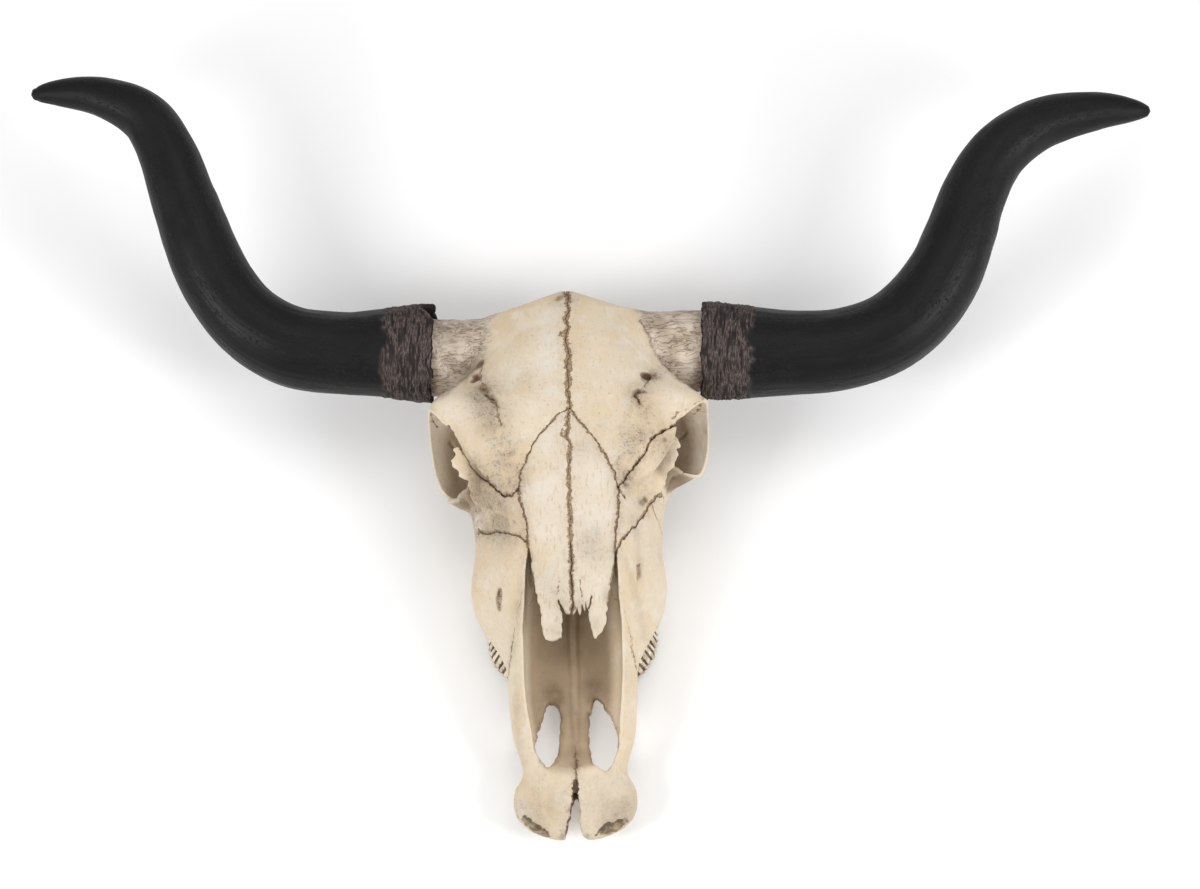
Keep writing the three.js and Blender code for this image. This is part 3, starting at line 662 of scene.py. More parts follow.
base_path = smooth_path([(0, -6, 42), (0, -60, 40), (0, -120, 48), (0, -160, 58)], 8)
base_bar = bar(base_path, 20 - 6 * np.linspace(0, 1, len(base_path)), flatten=0.7)
wing_path = smooth_path([(30, -140, 66), (25, -168, 46), (24, -205, 42)], 8)
wing = bar(wing_path, 6.5, flatten=1.9)

both(add_mesh, skull, ball((26, -3, 36), (16, 14.5, 19), 0.10), 5.0)
both(add_mesh, skull, process(), 5.0)
add_mesh(skull, base_bar, 5.0)
both(add_mesh, skull, ball((38, -60, 30), (11, 17, 17), 0.1), 4.0)
both(add_mesh, skull, wing, 4.0)
nape_crest = smooth_path([(-64, -22, 96), (-40, -17, 103), (0, -3, 108), (40, -17, 103), (64, -22, 96)], 10)
add_mesh(skull, bar(nape_crest, 5.5), 5.0)
add_mesh(skull, ball((0, -2, 98), (8, 9, 19), 0.15), 6.0)
both(carve_mesh, skull, ball((31, 10, 88), (21, 13, 20), 0.12), 9.0)
both(carve_mesh, skull, ball((44, 4, 44), (13, 11, 20), 0.1), 7.0)
print("whole mass after", round(time.time() - started, 1), "s")

# %% [markdown]
# ## Plans of the openings and sutures
#
# The sutures are drawn in plan, as seen from above, because that is how the bones of the face part.
# A suture is never a clean line, so the plan is read through a small random shift that turns every
# line into a jagged one. The shift is the same for both bones at a suture, so they still fit.

# %% Plans of the openings and sutures
PX, PY = np.meshgrid(AXES[0], AXES[1], indexing="ij")
JAG = 1.5
near_midline = np.exp(-((PX / 9.0) ** 2)) * ramp(PY, -270, -130)
WX = PX + JAG * rough(PX, PY, 0, 7.0, 1.0) + 0.9 * noise(PX, PY, 2, 3.0, 2.0)
WX = WX + 2.0 * near_midline * noise(PX * 0.2, PY, 3, 5.2, 8.0)
WY = PY + JAG * rough(PX, PY, 0, 7.0, 4.0) + 0.9 * noise(PX, PY, 5, 3.0, 5.0)


def line_distance(line, px=WX, py=WY):
    """Distance in plan to an open line."""
    corners = np.asarray(line, float)
    nearest = np.full(px.shape, 1e9)
    for a, b in zip(corners[:-1], corners[1:]):
        edge = b - a
        dx, dy = px - a[0], py - a[1]
        along = np.clip((dx * edge[0] + dy * edge[1]) / max(edge @ edge, 1e-9), 0, 1)
        nearest = np.minimum(nearest, (dx - along * edge[0]) ** 2 + (dy - along * edge[1]) ** 2)
    return np.sqrt(nearest)


def plan_distance(outline, part=EVERYWHERE, jagged=True):
    """Signed distance in plan to a closed outline, negative inside."""
    px = (WX if jagged else PX)[part[0], part[1]]
    py = (WY if jagged else PY)[part[0], part[1]]
    corners = np.vstack([outline, outline[:1]]).astype(float)
    inside = np.zeros(px.shape, bool)
    for a, b in zip(corners[:-1], corners[1:]):
        if a[1] != b[1]:
            crossing = (b[0] - a[0]) * (py - a[1]) / (b[1] - a[1]) + a[0]
            inside ^= ((a[1] > py) != (b[1] > py)) & (px < crossing)
    return np.where(inside, -1, 1) * line_distance(corners, px, py)


# %% [markdown]
# ## Sutures of the face
#
# One list for each suture and side, in millimetres from the poll. The two sides differ, as they do
# on a real skull.

# %% Sutures of the face
NASO_FRONTAL = {
    "left": [(0, -124), (6, -131), (16, -144), (27, -160), (36, -175), (42, -187), (44.5, -198)],
    "right": [(0, -124), (-6, -129), (-14, -137), (-24, -147), (-31.5, -156), (-39, -169), (-44, -181),
              (-47.5, -197)],
}
NASAL_SIDE = {
    "left": [(44.5, -198), (44.5, -216), (42, -243), (40, -267), (37, -282), (33, -306), (31, -322),
             (24, -332)],
    "right": [(-47.5, -197), (-46, -209), (-40.5, -226), (-40, -243), (-38, -265), (-34, -284), (-29.5, -309),
              (-27, -329), (-24, -335)],
}
NASAL_TIPS = {
    "left": [(24, -332), (21, -336), (17.5, -326), (15, -314), (19, -300), (17.5, -297), (14.5, -311),
             (13, -301),
             (11.5, -314), (9.5, -303), (7, -315), (4, -308), (1.5, -315), (0, -312)],
    "right": [(-24, -335), (-14, -337), (-10.5, -334), (-9.5, -320), (-14, -296), (-10, -304), (-6.5, -312),
              (-1.5, -314), (0, -312)],
}
FRONTO_LACRIMAL = {
    "left": [(110, -128), (95, -138), (88, -144), (76, -153), (70, -165), (60, -179), (52, -190),
             (44.5, -198)],
    "right": [(-112, -132), (-104, -147), (-93, -165), (-82, -181), (-68.5, -193.5), (-61, -201), (-53, -203),
              (-47.5, -197)],
}
LACRIMO_MAXILLARY = {
    "left": [(39.8, -265), (43, -254), (49.5, -242), (61, -228), (71, -212), (79, -200), (86, -194)],
    "right": [(-40.2, -247), (-48, -240), (-58, -235.5), (-68, -229), (-83, -225), (-90, -219)],
}
PREMAXILLA_RIDGE = {
    "left": [(38, -276), (45, -292), (52, -322), (57, -344), (59, -352), (62, -362)],
    "right": [(-36, -272), (-46, -292), (-54, -322), (-59, -344), (-61, -352), (-64, -362)],
}

# %% [markdown]
# ## Outlines of the openings
#
# The nose is one long opening, two slits go through its floor, and a notch parts the muzzle.

# %% Outlines of the openings
NASAL_APERTURE = smooth_path([
    (0, -250), (34, -250), (41, -262), (43, -292), (45, -330), (44, -372), (39.5, -410), (33, -434),
    (20, -446),
    (0, -450), (-20, -447), (-33, -441), (-39, -414), (-45, -378), (-46, -334), (-44, -297), (-39, -262),
    (-34, -250),
], 5, closed=True)
FISSURES = {
    "left": smooth_path([(21, -371), (31, -386), (38, -400), (39.5, -416), (35, -435), (26, -443), (16, -434),
                         (12.5, -411), (14, -388)], 5, closed=True),
    "right": smooth_path([(-23, -375), (-15, -381), (-13.5, -399), (-16.5, -422), (-26, -439), (-35.5, -429),
                          (-37.5, -412), (-32, -392)], 5, closed=True),
}
MUZZLE_NOTCH = [(0.3, -463), (2.2, -472), (2.8, -487), (3.3, -496), (6.8, -502), (13, -512), (-14, -512),
                (-10.5, -502), (-8.5, -488), (-5.5, -474), (-2.6, -466)]
print("jagged sutures shift by up to", round(float(np.abs(WX - PX).max()), 1), "mm")

# %% [markdown]
# ## Carving the openings
#
# The nose opens into a deep channel whose floor curves up into its walls, and two slits go through
# the floor behind the muzzle lobes. The nasal bones roof the channel, so they are kept out of the
# carving. Small holes let nerves and vessels through: one on each cheek, and a few on each brow.

# %% Carving the openings
CHANNEL_FLOOR = 50.0


def nasal_outline(side):
    return NASO_FRONTAL[side] + NASAL_SIDE[side][1:] + NASAL_TIPS[side][1:]


def nasal_floor(y):
    """Height of the underside of the nasal bones, thin towards their free tips."""
    return np.interp(y, [-340, -300, -262, -200, -124], [128.5, 134, 139, 147, 158]).astype(np.float32)


nasals_plan = np.minimum(plan_distance(nasal_outline("left")), plan_distance(nasal_outline("right")))
nasals = np.maximum(nasals_plan[:, :, None], nasal_floor(AXES[1])[None, :, None] - Z).astype(np.float32)
channel_part = window((-60, -460, 40), (60, -235, 184))
cx, cy, cz = coordinates(channel_part)
floor_height = CHANNEL_FLOOR + 0.0016 * cx * cx + 0.0045 * np.maximum(-cy - 402, 0) ** 2
channel = soft_max(
    plan_distance(NASAL_APERTURE, channel_part, jagged=False)[:, :, None].astype(np.float32),
    floor_height - cz, 16.0)
channel = np.maximum(channel, 0.35 - nasals[channel_part])
skull[channel_part] = soft_max(skull[channel_part], -channel, 1.6)
inner = loft([
    (-192, [(0, 128), (11, 127), (16, 117), (15, 96), (12, 90), (0, 90)]),
    (-206, [(0, 140), (19, 139), (27, 120), (26, 74), (20, 62), (0, 62)]),
    (-250, [(0, 137), (25, 136), (35, 115), (34, 64), (27, 52), (0, 52)]),
    (-290, [(0, 130), (26, 129), (36, 110), (35, 63), (27, 52), (0, 52)]),
])
carve_mesh(skull, inner, 5.0)

# %% [markdown]
# ## Slits, notch and sockets
#
# The slits widen downwards a little. The crests of the cheek are added after the sockets are carved,
# and then the socket's hollow is cleared once more, so its rim stays thin.

# %% Slits, notch and sockets
for side in SIDES:
    fissure_part = window((-60, -460, 10), (60, -355, 90))
    fx, fy, fz = coordinates(fissure_part)
    slit = plan_distance(FISSURES[side], fissure_part)[:, :, None] + 0.05 * (52 - fz)
    skull[fissure_part] = soft_max(skull[fissure_part], -slit.astype(np.float32), 3.0)
notch_part = window((-30, -512, 0), (30, -440, 90))
notch = plan_distance(MUZZLE_NOTCH, notch_part)[:, :, None].astype(np.float32)
skull[notch_part] = soft_max(skull[notch_part], -notch, 2.5)
for orbit_hollow in orbit_hollows.values():
    carve_mesh(skull, orbit_hollow, 1.2)
for crests in CHEEK_CRESTS.values():
    for stations in crests:
        add_mesh(skull, tapered_bar(stations), 6.0)
for side in SIDES:
    carve_mesh(skull, orbit_cup(side, [*HOLLOW_PROFILE[:4], (0.98, 1.0)], rag=1.2), 1.0)

# %% [markdown]
# ## Lacrimal flaps and broken rims
#
# The lacrimal bone juts into the socket as a thin plate with a broken edge. Short lumpy bars make
# the torn rim below it.

# %% Lacrimal flaps and broken rims
LACRIMAL_FLAP = {
    "left": [(60, -178), (74, -152), (92, -139), (99, -143), (103.5, -148), (104.5, -153), (100.5, -156),
             (102, -161),
             (98, -166), (98.5, -171), (92, -175), (89, -186), (84, -198), (68, -206)],
    "right": [(-62, -196), (-80, -172), (-99, -150), (-104, -148), (-108, -151), (-107, -157), (-111, -160),
              (-109, -166), (-104, -170), (-103.5, -175), (-95, -180), (-94, -189), (-90, -200), (-74, -214)],
}
for side, flap in LACRIMAL_FLAP.items():
    s = SIDES[side]
    flap_part = window((min(s * 56, s * 116), -220, 100), (max(s * 56, s * 116), -130, 172))
    x, y, z = coordinates(flap_part)
    top = (137.5 + 0.33 * (y + 150) - 0.25 * (s * x - 100)).astype(np.float32)
    plan = plan_distance(flap, flap_part)[:, :, None].astype(np.float32)
    thickness = 2.4 + 0.6 * ramp(-plan, 0, 6)
    plate = soft_max(plan, np.abs(z - (top - 2.6)) - thickness, 2.0)
    skull[flap_part] = soft_min(skull[flap_part], plate, 3.0)
BROKEN_RIM = [(-116, -188.5, 87, 1.6), (-112, -190, 91, 1.5), (-108, -189, 94, 2.1), (-105.5, -190, 94, 1.4),
              (-104, -187, 99, 1.9), (-101, -184.5, 101, 1.3), (-98, -184, 106, 1.8), (-95, -188, 108, 1.2)]
add_mesh(skull, tapered_bar(BROKEN_RIM, 12), 2.0)
LACRIMAL_LIP = [(-93, -193, 110, 1.6), (-88, -200, 109, 1.5), (-86, -210, 106, 1.7), (-87, -220, 101, 1.4),
                (-90, -226, 94, 1.0)]
add_mesh(skull, tapered_bar(LACRIMAL_LIP, 12), 1.5)
print("openings carved after", round(time.time() - started, 1), "s")


# %% [markdown]
# ## Small holes
#
# Nerves and vessels leave through small crooked holes. Each is a chain of tapering rods, carved out
# of the field, at the height where the surface happens to be.

# %% Small holes
def drill(points, radii, soft=1.2):
    """Carves a short crooked tunnel through the given places."""
    reach = max(radii) + 3
    part = window(np.min(points, axis=0) - reach, np.max(points, axis=0) + reach)
    x, y, z = coordinates(part)
    tunnel = np.full(skull[part].shape, BAND, np.float32)
    for (a, b), (ra, rb) in zip(zip(points[:-1], points[1:]), zip(radii[:-1], radii[1:])):
        a, edge = np.asarray(a, np.float32), np.subtract(b, a)
        dx, dy, dz = x - a[0], y - a[1], z - a[2]
        t = np.clip((dx * edge[0] + dy * edge[1] + dz * edge[2]) / max(edge @ edge, 1e-6), 0, 1)
        gap = np.sqrt((dx - t * edge[0]) ** 2 + (dy - t * edge[1]) ** 2 + (dz - t * edge[2]) ** 2)
        tunnel = np.minimum(tunnel, gap - (ra + (rb - ra) * t))
    skull[part] = soft_max(skull[part], -tunnel.astype(np.float32), soft)


def top_height(x, y):
    """Height of the highest surface above a place in plan."""
    i = int(round(x / VOXEL)) - START[0]
    j = int(round(y / VOXEL)) - START[1]
    column = skull[i, j]
    solid = np.nonzero(column < 0)[0]
    return float(AXES[2][solid[-1]]) if len(solid) else 0.0


def on_top(places, depth):
    return [(x, y, top_height(x, y) + VOXEL * 0.5 - depth) for x, y in places]


CHIPS = [
    [(-58, -477, 47, 1.5), (-53, -485, 46, 4.6), (-45, -492, 45.5, 5.8), (-37, -498, 44.5, 6.2),
     (-28, -503, 42, 4.0)],
    [(18, -504, 42, 2), (25, -500, 45, 5.2), (34, -496, 46, 6.6), (44, -491, 45.5, 5.4), (55, -483, 45, 2.8)],
]
BROW_GROOVES = {
    "left": [([(72, -88), (75, -89.5)], (2.7, 1.8), 3.4), ([(66, -106), (62.5, -110)], (1.6, 1.4), 1.6)],
    "right": [([(-81, -66), (-84, -72)], (2.8, 2.2), 1.0), ([(-84, -83), (-89, -87)], (3.0, 2.2), 1.2),
              ([(-80, -95), (-77, -100)], (3.2, 2.8), 0.6), ([(-72, -108), (-68, -113)], (1.7, 1.3), 1.6)],
}
for side, grooves in BROW_GROOVES.items():
    for places, radii, depth in grooves:
        drill(on_top(places, depth), radii)
drill(on_top([(62, -262), (63, -268), (62, -273)], 2.0), (1.4, 2.4, 1.4), 1.2)
drill(on_top([(-67, -281), (-68, -287), (-68, -294)], 2.8), (2.0, 3.4, 2.0), 1.5)
spinal = bar(np.array([(0.0, 16 - 4 * k, 54 + 0.8 * k) for k in range(26)]), 16.5 - 0.2 * np.arange(26))
carve_mesh(skull, spinal, 3.0)
both(carve_mesh, skull, ball((13.5, -178, 48), (9, 34, 17)), 3.0)
drill([(-0.6, -430, 52), (-1.0, -444, 50.5), (-1.3, -456, 49.5), (-1.4, -468, 48)], (0.6, 1.0, 1.9, 3.2), 1.0)
for chip in CHIPS:
    path = smooth_path(chip, 8)
    lumpy = path[:, 3] * (0.95 + 0.5 * noise(*path[:, :3].T, 6.0, 3.0))
    carve_mesh(skull, bar(path[:, :3], lumpy, 16), 0.5)
print("holes drilled after", round(time.time() - started, 1), "s")

# %% [markdown]
# ## Soft dents
#
# The forehead is not a plain dome: it dips beside each brow and towards the tips of the V over the
# nose.

# %% Soft dents
DENTS = [  # x, y, radius, depth
    (70, -98, 17, 2.4), (-80, -98, 18, 2.6), (74, -122, 14, 1.6), (-76, -125, 14, 1.8),
    (40, -150, 16, 1.1), (-44, -152, 17, 1.3), (0, -96, 26, 1.0), (32, -60, 26, -1.8), (-34, -62, 26, -1.8),
    (60, -208, 16, 1.8), (-64, -212, 16, 1.6), (-52, -262, 20, 2.6), (50, -250, 12, 1.4), (62, -318, 14, 2.0),
    (-66, -320, 14, 2.2), (0, -420, 7, -1.6),
]
dent_map = np.zeros(PX.shape, np.float32)
for x, y, radius, depth in DENTS:
    dent_map += depth * np.exp(-((PX - x) ** 2 + (PY - y) ** 2) / radius ** 2)
dent_map += 0.55 * rough(PX, PY, 0, 34, 6.0)
print("dents from", round(float(dent_map.min()), 1), "to", round(float(dent_map.max()), 1), "mm")

# %% [markdown]
# ## Suture furrows
#
# Along each suture the surface sinks into a shallow furrow. The same lines later carry the stain, so
# each is stored with its furrow, its stain and how dark its crack is. Last, the block is cut level at
# the floor, so that the skull rests on small flats.

# %% Suture furrows
suture_lines = {}


def suture(name, line, depth, width, stain, strength, dark=0.0, lowest=60.0):
    """Furrow depth and width, stain width and strength, how dark the crack is, and how low it reaches."""
    suture_lines[name] = (line_distance(line), depth, width, stain, strength, dark, lowest)


BROW_HOOK = {"left": [(71, -105.5), (64, -106), (62, -110.5), (65.5, -116.5), (67, -119)],
             "right": [(-77, -106), (-72, -107.5), (-67, -114), (-65, -120)]}
BROW_CHANNEL = {"left": [(76, -92), (72, -100), (70, -106)],
                "right": [(-80, -70), (-83, -84), (-77, -100), (-74, -107), (-64, -128), (-63, -137)]}
BROW_EDGE = {"left": [(128, -108), (112, -121), (101, -126), (96, -131)],
             "right": [(-130, -116), (-121, -126), (-112, -136)]}
TEMPLE_LINE = {"left": [(70, -26), (78, -46), (84, -62), (98, -81), (118, -97), (129, -106)],
               "right": [(-84, -70), (-97, -84), (-114, -99)]}
CHEEK_HOLE = {"left": [(62, -259), (63, -268), (62, -275)],
              "right": [(-67, -279), (-68.5, -287), (-68, -296)]}
for side in SIDES:
    suture("naso_frontal_" + side, NASO_FRONTAL[side], 0.4, 1.3, 1.15, 1.0)
    suture("nasal_side_" + side, NASAL_SIDE[side][:6], 0.7, 1.5, 1.25, 1.0)
    suture("fronto_lacrimal_" + side, FRONTO_LACRIMAL[side], 1.4, 1.5, 1.3, 1.0, 0.75)
    suture("lacrimo_maxillary_" + side, LACRIMO_MAXILLARY[side], 0.9, 1.2, 1.1, 1.0, 0.6)
    suture("premaxilla_" + side, PREMAXILLA_RIDGE[side][2:], 0.15, 1.2, 0.9, 0.75)
    suture("brow_hook_" + side, BROW_HOOK[side], 2.6, 1.3, 1.0, 0.95, 0.95)
    suture("brow_channel_" + side, BROW_CHANNEL[side], 0.9, 2.2, 1.4, 0.7)
    suture("brow_edge_" + side, BROW_EDGE[side], 0.0, 1.0, 1.0, 0.75)
    suture("cheek_hole_" + side, CHEEK_HOLE[side], 1.2, 1.8, 1.5, 0.62, 0.35)
    suture("fissure_" + side, np.vstack([FISSURES[side], FISSURES[side][:1]]), 0.0, 1.0, 0.8, 0.55, 0.0, 30.0)
suture("temple_line_left", TEMPLE_LINE["left"], 1.0, 1.3, 1.1, 0.9, 0.2)
suture("temple_line_right", TEMPLE_LINE["right"], 0.7, 1.3, 1.0, 0.7)
suture("apex_crack", [(3, -129), (11, -139), (17, -150)], 0.9, 1.0, 0.8, 0.95, 0.3)
suture("apex_crack_short", [(44.5, -198), (48, -204), (51, -207)], 0.9, 1.2, 1.0, 1.0, 0.8)
suture("tip_splits_left", [(10, -300), (8, -290), (7.5, -282)], 0.7, 0.9, 0.8, 0.9)
suture("tip_splits_right", [(-13, -297), (-12, -288), (-11, -281)], 0.7, 0.9, 0.8, 0.8)
suture("muzzle_seam", [(-0.6, -428), (-1, -452)], 0.0, 1.5, 1.5, 0.9, 0.5, 25.0)
suture("muzzle_slot", [(-1.2, -453), (-1.4, -467)], 0.0, 1.5, 2.9, 1.0, 1.0, 25.0)
suture("muzzle_edge", [(-1.4, -466), (-4.6, -474), (-8, -488), (-10, -500)], 0.0, 1.5, 1.7, 1.0, 0.9, 25.0)
suture("frontal_midline", [(0, 20), (0, -124)], 0.35, 2.2, 2.8, 1.0, 0.0, 104.0)
suture("midline_spur", [(0, -42), (-4.5, -44), (-5, -47), (-1.5, -50)], 0.5, 1.2, 1.3, 1.0, 0.5)
suture("midline_knot", [(1.2, -72), (2.6, -78), (2.2, -88)], 0.2, 1.6, 1.6, 1.0)
suture("nasal_midline", [(0, -124), (0, -330)], 0.8, 1.8, 2.2, 1.0, 0.25)
suture("nasal_spur", [(-1, -141), (-6, -146), (-5.5, -151), (-1.5, -153)], 0.4, 1.2, 1.2, 1.0, 0.4)
for distance, depth, width, *_ in suture_lines.values():
    dent_map += depth * np.exp(-((distance / width) ** 2))
upper = ramp(Z, 55, 75)
skull += dent_map[:, :, None] * upper
skull = np.maximum(skull, -Z)
print("furrows cut after", round(time.time() - started, 1), "s")

# %% [markdown]
# ## A map of nooks and edges
#
# Nooks darken brown, partly as dirt and partly as painted shade, and edges wear pale. A blurred copy
# of the distance field tells them apart: beside a nook there is more bone around than beside a flat, and
# beside an edge there is less.

# %% A map of nooks and edges
def blurred(field, reach):
    width = 2 * reach + 1
    for axis in range(3):
        padded = np.pad(field, [(reach + 1, reach) if k == axis else (0, 0) for k in range(3)], mode="edge")
        total = np.cumsum(padded, axis=axis, dtype=np.float32)
        high = [slice(None)] * 3
        low = [slice(None)] * 3
        high[axis] = slice(width, None)
        low[axis] = slice(0, -width)
        field = (total[tuple(high)] - total[tuple(low)]) / width
    return field


nooks = blurred(np.clip(skull, -6, 6), max(1, int(round(4.2 / VOXEL))))
print("nook map from", round(float(nooks.min()), 1), "to", round(float(nooks.max()), 1))

# %% [markdown]
# ## From field to mesh
#
# A bone is the whole skull inside its own territory. The territories are taken in turn, and each one
# is cut away from what remains before the next. The gap left at a suture is a fraction of a
# millimetre, rounded at its lips. OpenVDB then wraps the numbers in a closed mesh of quads.

# %% From field to mesh
SUTURE_HALF_GAP = 0.03
LIP = 0.4
SNUG = {"premaxilla": (-0.45, 0.15), "nasal": (-0.25, 0.3)}  # bones whose edge laps under its neighbour


def wrapped(values, corner, more=()):
    """Vertices (skull millimetres) and quads around the negative part of an array."""
    grid = openvdb.FloatGrid(BAND)
    grid.transform = openvdb.createLinearTransform(voxelSize=VOXEL)
    grid.copyFromArray(np.ascontiguousarray(values, np.float32), ijk=tuple(int(c) for c in corner))
    for extra, extra_corner in more:
        grid.copyFromArray(np.ascontiguousarray(extra, np.float32), ijk=tuple(int(c) for c in extra_corner))
    points, quads = grid.convertToQuads(isovalue=0.0)
    return np.asarray(points, float), np.asarray(quads, np.int64)


def sampled(field, points):
    """Reads a plan or a block at free points, blending the numbers around each."""
    axes = field.ndim
    q = np.clip(points[:, :axes] / VOXEL - START[:axes], 0, SHAPE[:axes] - 1.001)
    base = np.floor(q).astype(int)
    past = q - base
    total = np.zeros(len(points))
    for corner in itertools.product((0, 1), repeat=axes):
        weight = np.prod(np.where(corner, past, 1 - past), axis=1)
        total += weight * field[tuple((base + corner).T)]
    return total


# %% [markdown]
# ## Mesh objects
#
# The vertices and faces become an object in the row's frame. Loose crumbs are dropped first, so each
# bone is one closed shell.

# %% Mesh objects
def mesh_object(name, vertices, faces, masks):
    """A smooth mesh object in the row frame, with one named number per vertex for each mask."""
    mesh = bpy.data.meshes.new(name)
    corners = faces.shape[1]
    mesh.vertices.add(len(vertices))
    mesh.vertices.foreach_set("co", to_metres(vertices).astype(np.float32).ravel())
    mesh.loops.add(faces.size)
    mesh.loops.foreach_set("vertex_index", faces.astype(np.int32).ravel())
    mesh.polygons.add(len(faces))
    mesh.polygons.foreach_set("loop_start", np.arange(0, faces.size, corners, dtype=np.int32))
    mesh.update(calc_edges=True)
    mesh.shade_smooth()
    for key, values in masks.items():
        attribute = mesh.attributes.new(key, "FLOAT", "POINT")
        attribute.data.foreach_set("value", np.clip(values, 0, 1).astype(np.float32))
    piece = bpy.data.objects.new(name, mesh)
    bpy.context.scene.collection.objects.link(piece)
    return piece


def biggest_shell(vertices, quads):
    """Drops loose crumbs and keeps the largest connected shell."""
    label = np.arange(len(vertices))
    while True:
        lowest = label[quads].min(1)
        fresh = label.copy()
        for k in range(4):
            np.minimum.at(fresh, quads[:, k], lowest)
        fresh = fresh[fresh]
        if np.array_equal(fresh, label):
            break
        label = fresh
    names, counts = np.unique(label[quads[:, 0]], return_counts=True)
    kept = quads[label[quads[:, 0]] == names[counts.argmax()]]
    used = np.unique(kept)
    place = np.zeros(len(vertices), int)
    place[used] = np.arange(len(used))
    return vertices[used], place[kept]


# %% [markdown]
# ## Where each stain and painted shade lies
#
# Every vertex carries a few numbers that the materials read: how near a suture is, how deep inside a
# hollow it lies, how sheltered it is, where painted shade lies, and where the bone has greyed, been stained
# brown or chipped.

# %% Where each stain and painted shade lies
ORBIT_FRAMES = {side: (ORBIT_CENTRES[side], ORBIT_AXES[side]) for side in SIDES}
GREY_PATCHES = [  # x, y, radius, strength
    (-80, -104, 17, 0.9), (-72, -126, 16, 0.8), (-66, -142, 14, 0.5), (-58, -168, 17, 0.8),
    (-50, -190, 13, 0.9),
    (66, -112, 13, 0.7), (70, -134, 18, 0.6), (62, -160, 18, 0.8), (52, -186, 12, 0.9), (-40, -98, 14, 0.35),
    (-92, -62, 14, 0.6), (-52, -236, 10, 0.9), (84, -86, 9, 0.8), (30, -140, 16, 0.3), (36, -300, 9, 0.5),
    (-78, -216, 14, 0.7), (-84, -182, 12, 0.5), (70, -205, 14, 0.6), (-12, -8, 10, 0.5), (10, -10, 9, 0.5),
    (0, -60, 12, 0.25), (12, -160, 14, 0.4), (20, -250, 16, 0.5), (-20, -290, 16, 0.35), (-95, -250, 20, 0.3),
    (44, -360, 12, 0.35), (-56, -390, 12, 0.4), (84, -240, 16, 0.3), (-76, -206, 17, 0.9),
    (-66, -226, 14, 0.7),
    (-90, -188, 12, 0.7), (-88, -172, 10, 0.6), (92, -160, 12, 0.7), (-98, -196, 12, 0.7),
]
MUZZLE_GREY = [(-30, -480, 18, 0.25), (36, -482, 19, 0.3), (-48, -470, 12, 0.15), (50, -474, 12, 0.15)]
BROWN_PATCHES = [
    (73, -89, 3.6, 1.2), (80, -90, 7, 0.7), (70, -94, 5, 0.4), (-86, -85, 5, 1.0), (-78, -98, 4, 0.6),
    (-82, -69, 4.4, 0.8),
    (-18, -362, 8, 0.25), (17, -358, 8, 0.25), (0, -2, 8, 0.6),
    (-8, -6, 4, 0.5), (52, -196, 4, 0.7), (66, -208, 4.5, 0.6), (70, -204, 3, 0.7), (-70, -124, 8, 0.3),
    (-16, -318, 9, 0.3), (46, -240, 6, 0.35), (38, -256, 6, 0.4), (-41, -262, 5, 0.4), (100, -146, 4, 0.4),
    (-106, -196, 5, 0.4), (-60, -200, 5, 0.5), (44, -176, 5, 0.4), (-6, -478, 5, 0.6), (8, -502, 6, 0.5),
    (-13, -502, 6, 0.5), (66, -107, 3, 0.5), (-72, -110, 3, 0.5), (89, -152, 3.4, 0.7), (-56, -482, 7, 0.4),
    (0, -404, 8, 0.25), (0, -424, 8, 0.35), (-30, -446, 6, 0.3), (30, -446, 6, 0.3), (60, -470, 7, 0.3),
]
# Soft round patches of painted shade, partly brown stain.
PAINTED_SHADE_AND_STAIN_PATCHES = [  # smooth brown-grey shade
    (-80, -104, 15, 0.55), (-70, -128, 16, 0.30), (70, -108, 13, 0.40), (74, -90, 8, 0.45),
    (-84, -74, 10, 0.40),
    (-52, -186, 14, 0.30), (50, -188, 13, 0.35), (-84, -196, 14, 0.55), (-70, -220, 16, 0.35),
    (92, -152, 11, 0.30),
    (-19, -366, 10, 1.0), (18, -362, 10, 0.95), (-16, -376, 6, 0.6), (15, -374, 6, 0.6), (0, -330, 16, 0.30),
    (-34, -468, 26, 0.27), (36, -468, 26, 0.32), (-104, -62, 22, 0.40), (-114, -30, 18, 0.35),
    (-96, -84, 10, 0.4),
    (112, -78, 14, 0.30), (-10, -160, 10, 0.12), (24, -262, 12, 0.16), (30, -170, 10, 0.12),
    (0, -392, 14, 0.24), (0, -420, 12, 0.22), (0, -440, 7, 0.45), (-34, -486, 12, 0.25),
    (40, -484, 14, 0.30), (30, -496, 7, 0.5), (-36, -496, 7, 0.4),
    (-12, -306, 9, 0.40), (8, -307, 9, 0.45), (20, -324, 7, 0.30), (-18, -331, 7, 0.25), (-3, -490, 9, 0.35),
    (-64, -246, 13, 0.30), (-50, -300, 9, 0.25), (56, -226, 10, 0.25), (0, -6, 10, 0.30),
]
# Lines of soft painted shade along creases, rails, slits and the temple lines, partly stain.
PAINTED_SHADE_AND_STAIN_LINES = [  # plan, width, strength
    ([(-40, -262), (-46, -292), (-53, -318), (-58, -344)], 5.0, 0.30),
    ([(60, -222), (62, -246), (64, -268)], 3.5, 0.28),
    ([(52, -262), (60, -290), (66, -318)], 4.5, 0.25), ([(-46, -210), (-42, -240), (-38, -262)], 4.0, 0.40),
    ([(45, -205), (43, -240), (40, -262)], 4.0, 0.40), ([(-12, -386), (-12, -410), (-18, -432)], 2.5, 0.65),
    ([(12, -386), (11, -410), (16, -434)], 2.5, 0.60), ([(-4, -368), (-3, -400), (-1, -440)], 2.4, 0.35),
    ([(5, -362), (4, -400), (1, -440)], 2.2, 0.30), ([(-54, -360), (-54, -400), (-50, -436)], 4.0, 0.22),
    ([(70, -26), (80, -52), (98, -81), (118, -97)], 3.0, 0.30),
    ([(-84, -70), (-97, -84), (-114, -99)], 3.5, 0.35),
]
